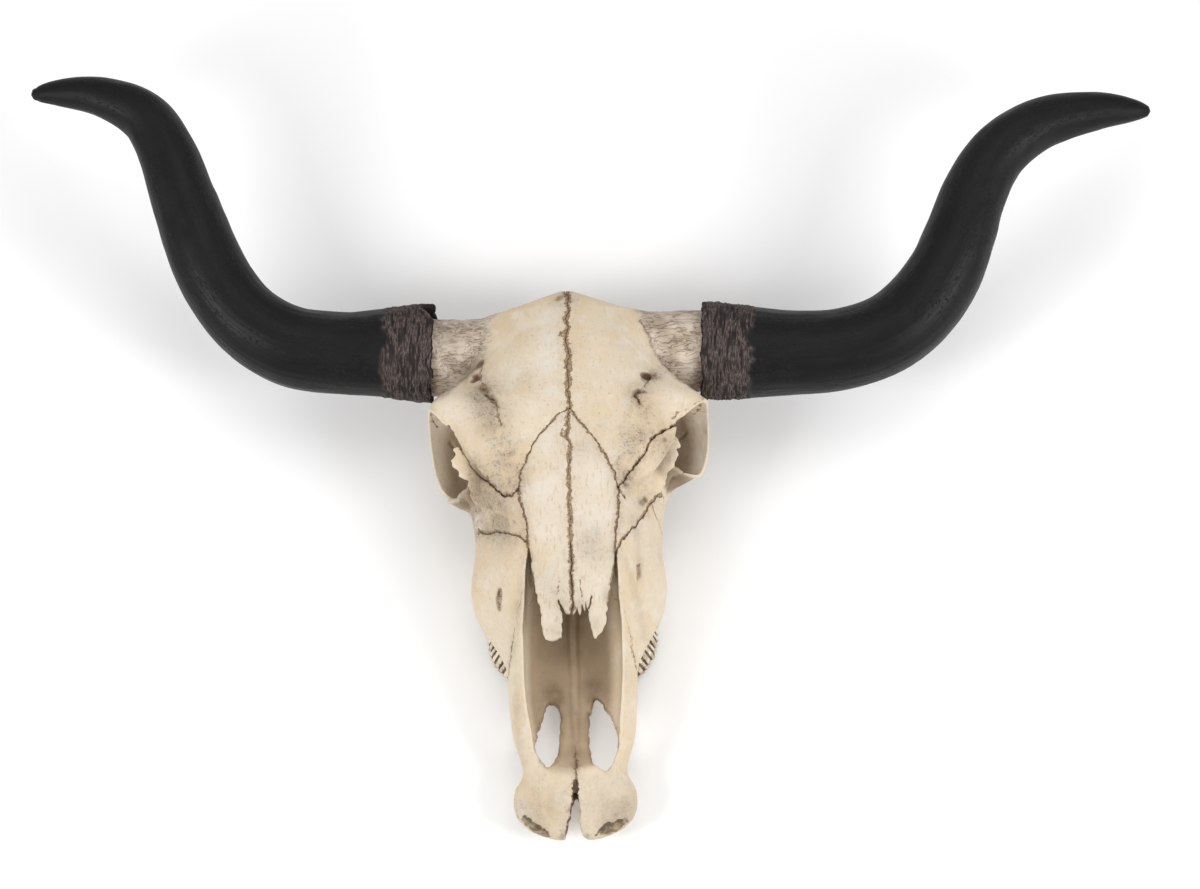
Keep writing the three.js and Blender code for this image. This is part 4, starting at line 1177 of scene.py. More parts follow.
PALE_PATCHES = [
    (-112, -190, 4, 0.8), (-105, -189, 4, 0.9), (-99, -184, 4, 0.9), (-88, -212, 4, 0.8), (-86, -220, 3, 0.8),
    (-19, -25, 12, 0.8), (-17, -52, 13, 0.9), (-17, -80, 12, 0.9), (-14, -108, 10, 0.8), (-22, -160, 13, 0.6),
    (-24, -200, 14, 0.7), (-22, -240, 12, 0.6), (24, -190, 12, 0.5), (22, -225, 12, 0.5),
    (-108, -118, 10, 0.3),
]


# %% [markdown]
# ## Masks
#
# Each mask is a number from 0 to 1 at every vertex. They are summed from soft round patches and from
# the distance to each suture.

# %% Masks
def patches(points, table):
    total = np.zeros(len(points))
    for x, y, radius, strength in table:
        total += strength * np.exp(-((points[:, 0] - x) ** 2 + (points[:, 1] - y) ** 2) / radius ** 2)
    return total


def chipped(points):
    """How far a point lies in the broken hollows of the muzzle, and how far up their upper wall, which gets
    painted shadow.
    """
    inside = np.zeros(len(points))
    wall = np.zeros(len(points))
    ragged = 1.3 * noise(*points.T, 4.0, 6.0) + 0.8 * noise(*points.T, 1.9, 2.0)
    for chip in CHIPS:
        for centre in smooth_path(chip, 8)[::2]:
            offset = points - centre[:3]
            near = ramp(centre[3] * 1.2 + 0.6 + ragged - np.linalg.norm(offset, axis=1), 0, 1.2)
            inside = np.maximum(inside, near)
            wall = np.maximum(wall, near * ramp(offset[:, 1] + ragged, 0.6 * centre[3], 1.2 * centre[3]))
    return inside, wall


# %% [markdown]
# ## All masks of a bone
#
# Stains fade with height, so the underside stays clean, and the tint and painted shade deep in the nose and
# the sockets are kept apart from the stain of the sutures above them.

# %% All masks of a bone
def bone_masks(points):
    x, y, z = points.T
    top = ramp(z, 60, 80)
    line = np.zeros(len(points))
    wide = np.zeros(len(points))
    crack = np.zeros(len(points))
    waver = 0.75 + 0.45 * noise(x, y, z, 9.0, 12.0)
    for distance, _, _, stain_width, strength, dark, lowest in suture_lines.values():
        away = sampled(distance, points)
        high = strength * ramp(z, lowest, lowest + 12)
        near = high * np.clip(1 - away / (2 * stain_width), 0, 1)
        line = np.maximum(line, near)
        crack = np.maximum(crack, dark * near)
        wide = np.maximum(wide, high * np.exp(-away / (stain_width * 2.6)) * waver)
    # How sheltered a place is: nooks get brown dirt and painted shade.
    nook_dirt_and_shade = np.clip(-sampled(nooks, points) / 1.6, 0, 1)
    edge = np.clip(sampled(nooks, points) / 2.2, 0, 1)
    to_wall = sampled(aperture_plan, points)
    # Inside the nose: a darker tint with painted shade. On the -X side it reaches nearer the rim than on the
    # +X side, as painted shade of light from one side.
    inside_nose = np.where(x > 0, 1 - ramp(to_wall, -15, -3),
                           1 - ramp(to_wall, -7, 1)) * (1 - ramp(z, 92, 128))
    inside_nose *= 1 - 0.9 * ramp(-y, 424, 462)
    # How deep a place lies in an eye socket, for the tint and painted shade there.
    socket = np.zeros(len(points))
    for centre, axis in ORBIT_FRAMES.values():
        offset = points - centre
        depth = -offset @ axis
        spread = np.linalg.norm(offset + depth[:, None] * axis, axis=1)
        socket = np.maximum(socket, ramp(depth, -1, 17) * (1 - ramp(spread, 44, 52)))
        open_air = 1 - ramp(depth, 1.5, 4) * (1 - ramp(spread, 38, 42))
        line, wide, crack = line * open_air, wide * open_air, crack * open_air
    # Painted shade inside the spinal canal.
    canal_shade = ramp(y, -112, -98) * (1 - ramp(np.hypot(x, z - 62), 17, 20)) * ramp(-y, -8, 22)
    # Smooth painted shade, partly stain, from the patches and the lines.
    painted_shade_and_stain = patches(points, PAINTED_SHADE_AND_STAIN_PATCHES) * ramp(z, 36, 42)
    for distance, width, strength in painted_shade_and_stain_lines:
        painted_shade_and_stain = painted_shade_and_stain + strength * np.exp(-((sampled(distance, points) / width) ** 2)) * ramp(z, 36, 42)
    # The painted shade also deepens in the spinal canal and in the eye sockets, more in the +X socket than in
    # the -X one.
    painted_shade_and_stain = painted_shade_and_stain * (0.8 + 0.35 * noise(x, y, z, 6.0, 8.0)) + canal_shade + 0.75 * np.where(x > 0, 1.0,
                                                                                     0.45) * socket ** 2
    # The bone greys towards the bottom, from about 60 mm down.
    under = 1 - ramp(z, 28, 60)
    chip, chip_wall_shadow = chipped(points)
    forehead_half = graded(y, [(-108, 128), (-90, 101), (-74, 87), (-57, 79), (-32, 74), (-13, 70), (2, 66)])
    beyond = np.abs(x) - forehead_half + 3 * noise(x, y, z, 14, 3.0)
    crisp = ramp(-y, 22, 50)
    core = np.where(x > 0, ramp(beyond, -3 - 8 * (1 - crisp), 4 + 4 * (1 - crisp)), ramp(beyond, -14, 12))
    core = core * ramp(y, -112, -104) * ramp(z, 52, 60)
    return {
        "suture": line,
        "suture_halo": np.clip(wide, 0, 1),
        "crack": crack,
        "nook_dirt_and_shade": nook_dirt_and_shade,
        "edge": edge,
        "hollow_tint_and_shade": np.maximum(inside_nose, 0.9 * socket * ramp(z, 70, 84)),
        "grey": patches(points, GREY_PATCHES) * top + 0.35 * under + patches(points, MUZZLE_GREY) * (1 - top),
        "brown": patches(points, BROWN_PATCHES),
        "painted_shade_and_stain": painted_shade_and_stain,
        "pale": patches(points, PALE_PATCHES) * top,
        "chip": chip,
        "chip_wall_shadow": chip_wall_shadow,
        "core": core,
    }


aperture_plan = plan_distance(NASAL_APERTURE, jagged=False)
painted_shade_and_stain_lines = [(line_distance(line), width, strength) for line, width, strength in PAINTED_SHADE_AND_STAIN_LINES]
print("masks ready after", round(time.time() - started, 1), "s")

# %% [markdown]
# ## Parting the bones
#
# Each territory is an outline in plan with a floor and a ceiling. The order matters: the nasals and
# frontals lie on top, so they are cut first, and the sphenoid is what is left in the middle.

# %% Parting the bones
LEFTMOST = 160.0


def frontal_plan(side):
    s = SIDES[side]
    lacrimal_edge = FRONTO_LACRIMAL[side]
    nose_edge = NASO_FRONTAL[side][::-1]
    return [(0, 20), (s * LEFTMOST, 20), (s * LEFTMOST, -118),
            (s * 134, -122)] + lacrimal_edge + nose_edge[1:]


def lacrimal_plan(side):
    s = SIDES[side]
    nasal_edge = [p for p in NASAL_SIDE[side][:5] if p[1] > LACRIMO_MAXILLARY[side][0][1]]
    reach = 0 if side == "left" else 8
    outer = [(s * (92 + reach / 2), -206), (s * (99 + reach), -192), (s * (105 + reach), -176),
             (s * (110 + reach), -160), (s * (111 + reach), -143)]
    return FRONTO_LACRIMAL[side] + nasal_edge[1:] + LACRIMO_MAXILLARY[side] + outer


def zygomatic_plan(side):
    s = SIDES[side]
    return [(s * x, y) for x, y in [(72, -150), (72, -190), (80, -214), (90, -226), (150, -200), (150, -84),
                                    (92, -84), (80, -120)]]


def premaxilla_plan(side):
    s = SIDES[side]
    return [(0, -530), (s * 90, -530), (s * 80, -370)] + PREMAXILLA_RIDGE[side][::-1] + [(s * 30, -286),
                                                                                       (s * 40, -348),
                                                                                       (0, -366)]


def nose_lining_plan(side):
    """The premaxilla also lines the open part of the nose, above the palate."""
    s = SIDES[side]
    return [(0, -250), (s * 34, -250)] + PREMAXILLA_RIDGE[side] + [(s * 62, -380), (0, -380)]


def mirrored_plan(outline, side):
    return [(SIDES[side] * x, y) for x, y in outline]


TEMPORAL = [(30, -36), (150, -36), (150, -84), (92, -84), (80, -120), (30, -120)]
PALATINE = [(0, -158), (42, -158), (44, -205), (30, -232), (0, -238)]
MAXILLA = [(0, -190), (150, -190), (150, -420), (0, -420)]


# %% [markdown]
# ## Territories
#
# A territory's floor and ceiling are heights along the skull. The plans of the hidden bones are
# simple outlines, because no suture shows there.

# %% Territories
def level(height):
    return np.full(len(AXES[1]), height, np.float32)


CEILING = level(400)
TERRITORIES = [
    ("nasal", nasal_outline, nasal_floor(AXES[1]), CEILING),
    ("frontal", frontal_plan, (104 - 0.14 * AXES[1]).astype(np.float32), CEILING),
    ("lacrimal", lacrimal_plan, level(100), CEILING),
    ("zygomatic", zygomatic_plan, level(58), CEILING),
    ("premaxilla", premaxilla_plan, level(-10), CEILING),
    ("temporal", lambda side: mirrored_plan(TEMPORAL, side), level(-10), CEILING),
    ("palatine", lambda side: mirrored_plan(PALATINE, side), level(-10), level(62)),
    ("maxilla", lambda side: mirrored_plan(MAXILLA, side), level(-10), CEILING),
]


# %% [markdown]
# ## Cutting a bone free
#
# A bone keeps the smooth maximum of the whole and its territory; what remains loses that territory.

# %% Cutting a bone free
def territory(outline, floor, ceiling):
    low = np.array(list(np.min(outline, axis=0) - 8) + [BLOCK_LOW[2]])
    high = np.array(list(np.max(outline, axis=0) + 8) + [BLOCK_HIGH[2]])
    part = window(low, high)
    plan = plan_distance(outline, part)[:, :, None].astype(np.float32)
    wave = 1.4 * (WX - PX)[part[0], part[1], None]
    heights = np.maximum(floor[None, part[1], None] + wave - Z, Z - ceiling[None, part[1], None])
    return part, np.maximum(plan, heights)


def cut_bone(remaining, part, inside, gap, lip):
    piece = soft_max(remaining[part], inside + gap, lip)
    remaining[part] = np.maximum(remaining[part], max(gap, 0.0) - inside)
    padded = np.pad(piece, 1, constant_values=BAND)
    corner = [START[k] + part[k].start - 1 for k in range(3)]
    return padded, corner


def core_blocks(side):
    """The field of a horn core beyond the block, up to the core's tip."""
    vertices = horn_cores[side][0]
    low, high = vertices.min(0) - 4, vertices.max(0) + 4
    if side == "left":
        low[0] = AXES[0][-1] + VOXEL
    else:
        high[0] = AXES[0][0] - VOXEL
    corner = np.round(low / VOXEL).astype(int) if side == "left" else np.floor(low / VOXEL).astype(int)
    last = np.ceil(high / VOXEL).astype(int) if side == "left" else np.round(high / VOXEL).astype(int)
    values = np.empty(last - corner + 1, np.float32)
    vdb_of(horn_cores[side]).copyToArray(values, ijk=tuple(int(c) for c in corner))
    return [(values, corner)]


# %% [markdown]
# ## Cutting the pairs
#
# The frontals also take the root of the horn core and its length beyond the block, which is a field
# of its own.

# %% Cutting the pairs
bones = {}
remaining = skull.copy()
for name, outline_of, floor, ceiling in TERRITORIES:
    for side, sign in SIDES.items():
        part, inside = territory(outline_of(side), floor, ceiling)
        more = []
        if name == "premaxilla":
            lining = plan_distance(nose_lining_plan(side), part)[:, :, None].astype(np.float32)
            inside = np.minimum(inside, np.maximum(lining, 42 - Z))
        if name == "frontal":
            x, y, z = coordinates(part)
            root = np.sqrt((y + 47) ** 2 + (z - 97.5) ** 2) - 46 + 4 * np.maximum(70 - sign * x, 0)
            inside = np.minimum(inside, root)
            more = core_blocks(side)
        gap, lip = SNUG.get(name, (SUTURE_HALF_GAP, LIP))
        padded, corner = cut_bone(remaining, part, inside, gap, lip)
        if name == "frontal":
            if side == "left":
                padded = padded[:-1]
            else:
                padded = padded[1:]
                corner[0] += 1
        vertices, quads = wrapped(padded, corner, more=more)
        bones[f"{name}_{side}"] = biggest_shell(vertices, facing_out(vertices, quads))
print("paired bones parted after", round(time.time() - started, 1), "s")

# %% [markdown]
# ## The bones on the midline
#
# What is left after the pairs is parted once more by a plane: the occipital behind it and the
# sphenoid before it. The vomer is a low ridge that lies in the nose.

# %% The bones on the midline
OCCIPITAL_FRONT = -36.0
back = (OCCIPITAL_FRONT - Y).astype(np.float32)
occipital = soft_max(remaining, back + SUTURE_HALF_GAP, LIP)
sphenoid = soft_max(remaining, -back + SUTURE_HALF_GAP, LIP)
for name, field in (("occipital", occipital), ("sphenoid", sphenoid)):
    vertices, quads = wrapped(np.pad(field, 1, constant_values=BAND), START - 1)
    bones[name] = biggest_shell(vertices, facing_out(vertices, quads))

vomer_mesh = loft([
    (y, [(0, CHANNEL_FLOOR + rise), (half * 0.4, CHANNEL_FLOOR + rise * 0.93),
         (half * 0.75, CHANNEL_FLOOR + rise * 0.4),
         (half, CHANNEL_FLOOR + 0.1), (half, CHANNEL_FLOOR - 0.8), (0, CHANNEL_FLOOR - 0.8)])
    for y, half, rise in [(-252, 7, 9), (-300, 6, 5), (-345, 5.5, 2.4), (-385, 4.6, 1.3), (-424, 3.4, 0.5)]
], steps=14)
vomer_mesh[0][:, 0] += 0.9 * noise(0 * vomer_mesh[0][:, 1], vomer_mesh[0][:, 1], 0, 15.0, 5.0)
bones["vomer"] = vomer_mesh
for name, (vertices, faces) in bones.items():
    print(f"  {name:18s} {len(faces):7d} faces")

# %% [markdown]
# ## Cheek teeth
#
# A cow's cheek tooth is a tall column. Its outer side carries upright ribs with dark cement in the
# furrows between them. The worn end shows a rim of enamel, a lower basin and deep crescent pockets.

# %% Cheek teeth
TEETH_FRONT = -346.0
TOOTH_LENGTHS = (15, 17, 18, 24, 28, 28)
TOOTH_WIDTHS = (13, 17, 19, 21, 22, 21)
TEETH_OUTER = {  # y and x of the outer line of the row
    "left": [(-347, 56), (-341, 63.5), (-336, 69), (-331, 72.5), (-320, 78), (-310, 80), (-290, 81),
             (-240, 80),
             (-213, 76)],
    "right": [(-347, 59), (-341, 65.5), (-337, 70), (-331, 75), (-322, 79.5), (-313, 82), (-290, 83),
              (-240, 80.5),
              (-213, 76)],
}
TOOTH_WEAR = (7, 4, 2, 0.2, 0, 0)
TOOTH_TILT = (8.5, 8, 6, 4, 3, 2)
TOOTH_TOP = 46.0
TOOTH_SIDES = 120
print("each row of teeth is", sum(TOOTH_LENGTHS), "mm long")


# %% [markdown]
# ## One tooth
#
# The outline of a tooth is a rounded box, walked in even steps. Rings go down the column, round the
# worn edge and in across the worn face.

# %% One tooth
def tooth(side, order):
    sign = SIDES[side]
    length, width, wear = TOOTH_LENGTHS[order], TOOTH_WIDTHS[order], TOOTH_WEAR[order]
    molar = order > 2
    middle = TEETH_FRONT + sum(TOOTH_LENGTHS[:order]) + length / 2
    turn = np.linspace(0, 2 * np.pi, 2001)
    u = np.sign(np.cos(turn)) * np.abs(np.cos(turn)) ** 0.35
    v = np.sign(np.sin(turn)) * np.abs(np.sin(turn)) ** 0.35
    walked = np.concatenate([[0], np.cumsum(np.hypot(np.diff(u) * length, np.diff(v) * width))])
    even = np.linspace(0, walked[-1], TOOTH_SIDES, endpoint=False)
    u, v = np.interp(even, walked, u), np.interp(even, walked, v)
    ribs = np.cos(u * np.pi * (4 if molar else 3) + 0.35)
    outer_side = ramp(v, 0.3, 0.9)
    lobes = 0.26 * np.exp(-((u / 0.17) ** 2)) * ramp(-v, 0.2, 0.8) * molar
    v = v * (1 - lobes) + 0.085 * ribs * outer_side
    furrow = ramp(-ribs, -0.25, 0.6) * outer_side + 2.2 * lobes
    rings, grooves = [], []
    for z in np.linspace(TOOTH_TOP, wear + 0.7, 24):
        lean = 0.9 + 0.1 * ramp(z, 46, 12)
        waver = 0.25 * noise(u * 6, v * 6, z, 5.0, order)
        y = middle + u * (length / 2 - 0.08) * (0.96 + 0.04 * ramp(z, 40, 8))
        row = graded(y, TEETH_OUTER[side]) - width / 2
        x = row + (v * width / 2 + waver) * lean - TOOTH_TILT[order] * (z / TOOTH_TOP)
        rings.append(np.column_stack([sign * x, y, np.full(TOOTH_SIDES, z)]))
        grooves.append(furrow)
    for size in np.concatenate([[0.985, 0.96], np.linspace(0.92, 0.05, 18)]):
        pu, pv = u * size, v * size
        basin = 1.5 * ramp(size, 0.96, 0.84)
        for centre in ((-0.46, 0.46) if molar else (0.0,)):
            arc = np.hypot((pu - centre) / 0.36, (pv + 0.35) / 0.75)
            pocket = np.exp(-(((arc - 0.72) / 0.20) ** 2)) * (pv > -0.45)
            ridge = np.exp(-(((arc - 1.06) / 0.10) ** 2)) * (pv > -0.5)
            basin = basin + 2.6 * pocket - 1.1 * ridge
        y = middle + pu * (length / 2 - 0.08)
        x = graded(y, TEETH_OUTER[side]) - width / 2 + pv * width / 2
        rings.append(np.column_stack([sign * x, y, wear + np.maximum(basin, 0) + 0.3 * (size > 0.97)]))
        grooves.append(np.clip(basin / 3, 0, 1))
    rings = np.array(rings)
    grooves = np.concatenate([np.ravel(grooves), [0, 0]])
    vertices, faces = skin(rings)
    return vertices, faces, grooves


tooth_pieces = []
for side in SIDES:
    vertices, faces, grooves, count = [], [], [], 0
    for order in range(len(TOOTH_LENGTHS)):
        tooth_vertices, tooth_faces, tooth_grooves = tooth(side, order)
        vertices.append(tooth_vertices)
        faces.append(tooth_faces + count)
        grooves.append(tooth_grooves)
        count += len(tooth_vertices)
    piece = mesh_object("teeth_" + side, np.vstack(vertices), np.vstack(faces),
                        {"groove": np.concatenate(grooves)})
    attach(piece, "root")
    tooth_pieces.append(piece)
print("teeth made after", round(time.time() - started, 1), "s")

# %% [markdown]
# ## Horn sheaths
#
# A sheath is a hollow cap of horn. One skin covers it: it starts at the end of the bore, comes out
# along the bore to the ragged mouth, turns round the rim and runs along the outside to the tip. The
# oldest horn at the mouth has frayed into a thick collar whose strands run round the horn; further
# out the surface is smooth, with faint furrows along it.

# %% Horn sheaths
SHEATH_SIDES = 150


def horn_sheath(side):
    dense, radii, mouth, length = horn_line(side, 1600)
    travel = np.linspace(0, length, 1600)
    level, over = ring_frames(dense)
    start = mouth * length
    angle = np.linspace(0, 2 * np.pi, SHEATH_SIDES, endpoint=False)[None, :]
    up = np.cos(angle) * SIDES[side]
    cosine, sine = np.cos(angle) * 42.0, np.sin(angle) * 42.0

    bore = np.concatenate([np.linspace(CORE_REACH * length, 14, 40), np.linspace(12, 0, 12)])
    outside = np.concatenate([np.linspace(0, 60, 100), np.linspace(60, length - start, 260)[1:]])
    away = np.concatenate([bore, np.zeros(5), outside])[:, None]
    inner = core_radius((start + bore) / length, mouth) + 1.0
    flare = 3.2 * np.exp(-bore[:, None] / 9) * (0.35 + 0.65 * ramp(up, 0.1, 0.95))
    inner = inner[:, None] + flare
    outer = np.interp(start + outside, travel, radii)
    to_tip = length - start - outside
    blunt = 5.5
    outer = np.where(to_tip < blunt, np.sqrt(np.maximum(blunt ** 2 - (blunt - to_tip) ** 2, 0)) * 1.1, outer)
    outer = outer[:, None] + 0 * angle
    rim = inner[-1:] + (outer[:1] + 1.3 - inner[-1:]) * np.linspace(0.12, 0.88, 5)[:, None]

    along = outside[:, None]
    frayed_to = 47 + 5 * noise(cosine, sine, 0, 16, 2.0) + 3 * noise(cosine, sine, 0, 5, 7.0)
    collar = 1 - ramp(along, frayed_to - 5, frayed_to + 3)
    strands = noise(along + 0.6 * noise(along, cosine, sine, 9, 6.0), cosine * 0.16, sine * 0.16, 1.4, 1.0)
    bands = noise(along, cosine * 0.16, sine * 0.16, 4.5, 3.0)
    cracks = np.exp(-((noise(along * 0.10, cosine, sine, 9.0, 5.0) / 0.05) ** 2))
    fade = 1 - ramp(along, length - start - 90, length - start - 10)
    relief = collar * (1.0 + 0.65 * strands + 0.45 * bands - 1.0 * cracks)
    relief = relief + fade * (0.8 * noise(along, cosine, sine, 38, 1.0) + 0.35 * noise(along, cosine, sine,
                                                                                       13, 2.0))
    furrows = noise(along * 0.05, cosine, sine, 3.4, 4.0) * (1 - collar) * (1 - ramp(along, 120, 320))
    relief = relief + 0.30 * furrows
    relief = relief - 0.7 * np.maximum(noise(along, cosine, sine, 3.0, 8.0) - 0.55, 0) * fade
    outer = np.maximum(outer + relief, 0.4)

    radius = np.vstack([inner, rim, outer])
    rag = 2.4 * noise(cosine, sine, 0, 9, 4.0) + 1.3 * noise(cosine, sine, 0, 3.2, 9.0)
    if side == "right":
        rag = rag + 11 * np.exp(-(((angle - 2.45) / 0.33) ** 2))
    else:
        rag = rag + 3 * np.exp(-(((angle - 0.6) / 0.25) ** 2))
    bulge = np.zeros_like(radius)
    bulge[len(bore):len(bore) + 5] = -1.0 * np.sin(np.linspace(0.2, 0.8, 5) * np.pi)[:, None]
    place = np.clip(start + away + rag * (1 - ramp(away, 0, 16)) + bulge, 0, length)
    rings = np.empty(radius.shape + (3,))
    for k in range(3):
        centre = np.interp(place, travel, dense[:, k])
        side_way = np.interp(place, travel, level[:, k]) * np.cos(angle)
        top_way = np.interp(place, travel, over[:, k]) * np.sin(angle)
        rings[:, :, k] = centre + radius * (side_way + top_way)
    vertices, faces = skin(rings)

    masks = {
        "collar": np.vstack([np.ones_like(inner), np.ones_like(rim), collar + 0 * outer]),
        # The bore and the rim are marked for painted shade.
        "inside": np.vstack([np.ones_like(inner), 0.6 * np.ones_like(rim), 0 * outer]),
        "strand": np.vstack([0 * inner, 0 * rim, 0.5 + 0.5 * strands * collar + 0 * outer]),
    }
    masks = {key: np.concatenate([values.ravel(), values[0, :1], values[-1, :1]]) for key,
             values in masks.items()}
    shape = radius.shape
    grid_place = np.stack([place + 0 * radius, cosine + 0 * radius, sine + 0 * radius], axis=-1).reshape(-1,
                                                                                                         3)
    grid_place = np.vstack([grid_place, grid_place[0], grid_place[-1]]) / 1000.0
    return vertices, faces, masks, grid_place


# %% [markdown]
# ## Both sheaths
#
# Each sheath also stores its place along the horn at every vertex, so the fibres can follow it.

# %% Both sheaths
sheath_pieces = []
for side in SIDES:
    vertices, faces, masks, horn_place = horn_sheath(side)
    piece = mesh_object("sheath_" + side, vertices, faces, masks)
    attribute = piece.data.attributes.new("horn_place", "FLOAT_VECTOR", "POINT")
    attribute.data.foreach_set("vector", horn_place.astype(np.float32).ravel())
    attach(piece, "root")
    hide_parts("horn_sheath_" + side)
    sheath_pieces.append(piece)
print("sheaths made after", round(time.time() - started, 1), "s")

# %% [markdown]
# ## Building materials
#
# A few short helpers keep the node trees readable. Colours are written as they look on screen and
# turned into the linear values that a renderer works in.

# %% Building materials
def srgb(r, g, b):
    def linear(value):
        value = value / 255.0
        return value / 12.92 if value <= 0.04045 else ((value + 0.055) / 1.055) ** 2.4

    return linear(r), linear(g), linear(b), 1.0


def node(tree, kind, inputs=(), out=0, **settings):
    made = tree.nodes.new(kind)
    for key, value in settings.items():
        setattr(made, key, value)
    for key, value in inputs.items() if isinstance(inputs, dict) else enumerate(inputs):
        if isinstance(value, bpy.types.NodeSocket):
            tree.links.new(value, made.inputs[key])
        elif value is not None:
            made.inputs[key].default_value = value
    return made.outputs[out]


def calc(tree, operation, a, b=None, clamp=False):
    return node(tree, "ShaderNodeMath", [a, b], operation=operation, use_clamp=clamp)


# %% [markdown]
# ## Colours, clouds and masks
#
# Most of a finish is a soft cloud, squeezed between two levels, that lets one colour through another.

# %% Colours, clouds and masks
def times(tree, *factors):
    total = factors[0]
    for factor in factors[1:]:
        total = calc(tree, "MULTIPLY", total, factor)
    return total


def sway(tree, value, amount):
    """A cloud of 0 to 1 turned into a value that sways round zero."""
    return times(tree, calc(tree, "SUBTRACT", value, 0.5), amount)


def blend(tree, amount, a, b, how="MIX"):
    return node(tree, "ShaderNodeMix", {0: amount, 6: a, 7: b}, out=2, data_type="RGBA", blend_type=how)


def stained(tree, colour, tint, *amounts):
    """The colour under a share of a tint; the share is the product of the amounts."""
    return blend(tree, times(tree, *amounts), colour, srgb(*tint))


def between(tree, value, low, high, to_low=0.0, to_high=1.0):
    return node(tree, "ShaderNodeMapRange", [value, low, high, to_low, to_high],
                interpolation_type="SMOOTHSTEP")


def cloud(tree, place, scale, detail=3.0, roughness=0.55, distortion=0.0):
    return node(tree, "ShaderNodeTexNoise", {"Vector": place, "Scale": scale, "Detail": detail,
                                             "Roughness": roughness, "Distortion": distortion})


def stretched(tree, place, x, y, z):
    return node(tree, "ShaderNodeVectorMath", [place, (x, y, z)], operation="MULTIPLY")


def mask(tree, name):
    return node(tree, "ShaderNodeAttribute", out=2, attribute_name=name)


# %% [markdown]
# ## Groups and materials
#
# A group is a little machine with named inputs and outputs that several materials share. A material
# keeps its own shader.

# %% Groups and materials
def new_group(name, ins, outs):
    group = bpy.data.node_groups.new(name, "ShaderNodeTree")
    for label, kind, default in ins:
        made = group.interface.new_socket(name=label, in_out="INPUT", socket_type=kind)
        if default is not None:
            made.default_value = default
    for label, kind in outs:
        group.interface.new_socket(name=label, in_out="OUTPUT", socket_type=kind)
    entry = group.nodes.new("NodeGroupInput").outputs
    final = group.nodes.new("NodeGroupOutput").inputs
    return group, entry, final


def use_group(tree, group, inputs):
    made = tree.nodes.new("ShaderNodeGroup")
    made.node_tree = group
    for key, value in inputs.items():
        if isinstance(value, bpy.types.NodeSocket):
            tree.links.new(value, made.inputs[key])
        else:
            made.inputs[key].default_value = value
    return made.outputs


def new_material(name):
    material = bpy.data.materials.new(name)
    material.use_nodes = True
    tree = material.node_tree
    shader = tree.nodes["Principled BSDF"]
    place = node(tree, "ShaderNodeTexCoord", out=3)
    return material, tree, shader, place


# %% [markdown]
# ## Clean bone and grey bloom
#
# Clean bone is cream. Ground water and dust leave grey-brown bloom, and the bone greys towards its bottom.
# Dark freckles sit where the surface is porous, and brown runs along each suture. Every nook and furrow
# darkens brown, partly as dirt and partly as painted shade, and the nose and the eye sockets take a darker
# tint with painted shade. Sharp edges rub pale. One group makes that colour for every bone from the masks.

# %% Clean bone and grey bloom
stain_and_shade_group, entry, final = new_group("old bone colour", [
    ("Place", "NodeSocketVector", None), ("Clean", "NodeSocketColor", srgb(226, 210, 186)),
    ("Warm", "NodeSocketColor", srgb(228, 202, 164)), ("Pale", "NodeSocketColor", srgb(238, 228, 212)),
    ("Dirt", "NodeSocketFloat", 1.0), ("Streaks", "NodeSocketFloat", 0.2),
], [("Colour", "NodeSocketColor"), ("Pores", "NodeSocketFloat")])
t = stain_and_shade_group
place, clean, warm, pale, dirt = (entry[k] for k in ("Place", "Clean", "Warm", "Pale", "Dirt"))
wide_cloud = cloud(t, place, 17.0, 3.0, 0.6, 0.3)
mid_cloud = cloud(t, place, 60.0, 4.0, 0.6, 0.2)
fine_cloud = cloud(t, place, 260.0, 5.0, 0.65)
fleck_cloud = cloud(t, place, 480.0, 4.0, 0.6)
grit = cloud(t, place, 900.0, 3.0, 0.7)
colour = blend(t, between(t, wide_cloud, 0.40, 0.66, 0.0, 0.75), clean, warm)
colour = blend(t, between(t, mid_cloud, 0.48, 0.72, 0.0, 0.7), colour, pale)
grey_area = calc(t, "MULTIPLY", mask(t, "grey"), between(t, mid_cloud, 0.30, 0.62, 0.35, 1.15), clamp=True)
colour = stained(t, colour, (146, 131, 112), grey_area, 0.50)
blotch = between(t, cloud(t, place, 140.0, 3.0, 0.6), 0.52, 0.66)
colour = stained(t, colour, (128, 112, 92), blotch, grey_area, 0.45)
colour = stained(t, colour, (232, 225, 215), mask(t, "pale"), 0.75)

# %% [markdown]
# ## Freckles and dots
#
# Where the surface is porous, dirt sits in the pores as freckles and small dots. Both thicken where
# the bone has greyed.

# %% Freckles and dots
freckle_low = between(t, grey_area, 0.0, 1.0, 0.62, 0.55)
freckle = node(t, "ShaderNodeMapRange", [fleck_cloud, freckle_low, calc(t, "ADD", freckle_low, 0.055), 0.0,
                                         1.0],
               interpolation_type="SMOOTHSTEP")
freckle = times(t, freckle, between(t, grit, 0.35, 0.6), dirt)
colour = blend(t, times(t, freckle, between(t, grey_area, 0.0, 1.0, 0.25, 0.45)), colour, srgb(112, 96, 80))
dot = node(t, "ShaderNodeTexVoronoi", {"Vector": place, "Scale": 430.0, "Randomness": 1.0})
dot = between(t, dot, 0.12, 0.32, 1.0, 0.0)
dot_low = between(t, grey_area, 0.0, 1.0, 0.58, 0.37)
dotted = node(t, "ShaderNodeMapRange", [cloud(t, place, 90.0, 4.0, 0.7), dot_low,
                                        calc(t, "ADD", dot_low, 0.12), 0.0, 1.0],
              interpolation_type="SMOOTHSTEP")
dot = times(t, dot, dotted, dirt)
colour = blend(t, times(t, dot, between(t, grey_area, 0.0, 1.0, 0.30, 0.78)), colour, srgb(98, 80, 62))
streak = cloud(t, stretched(t, place, 1.0, 0.16, 1.0), 420.0, 3.0, 0.6)
colour = blend(t, times(t, between(t, streak, 0.54, 0.70), entry["Streaks"]), colour, srgb(186, 160, 128))
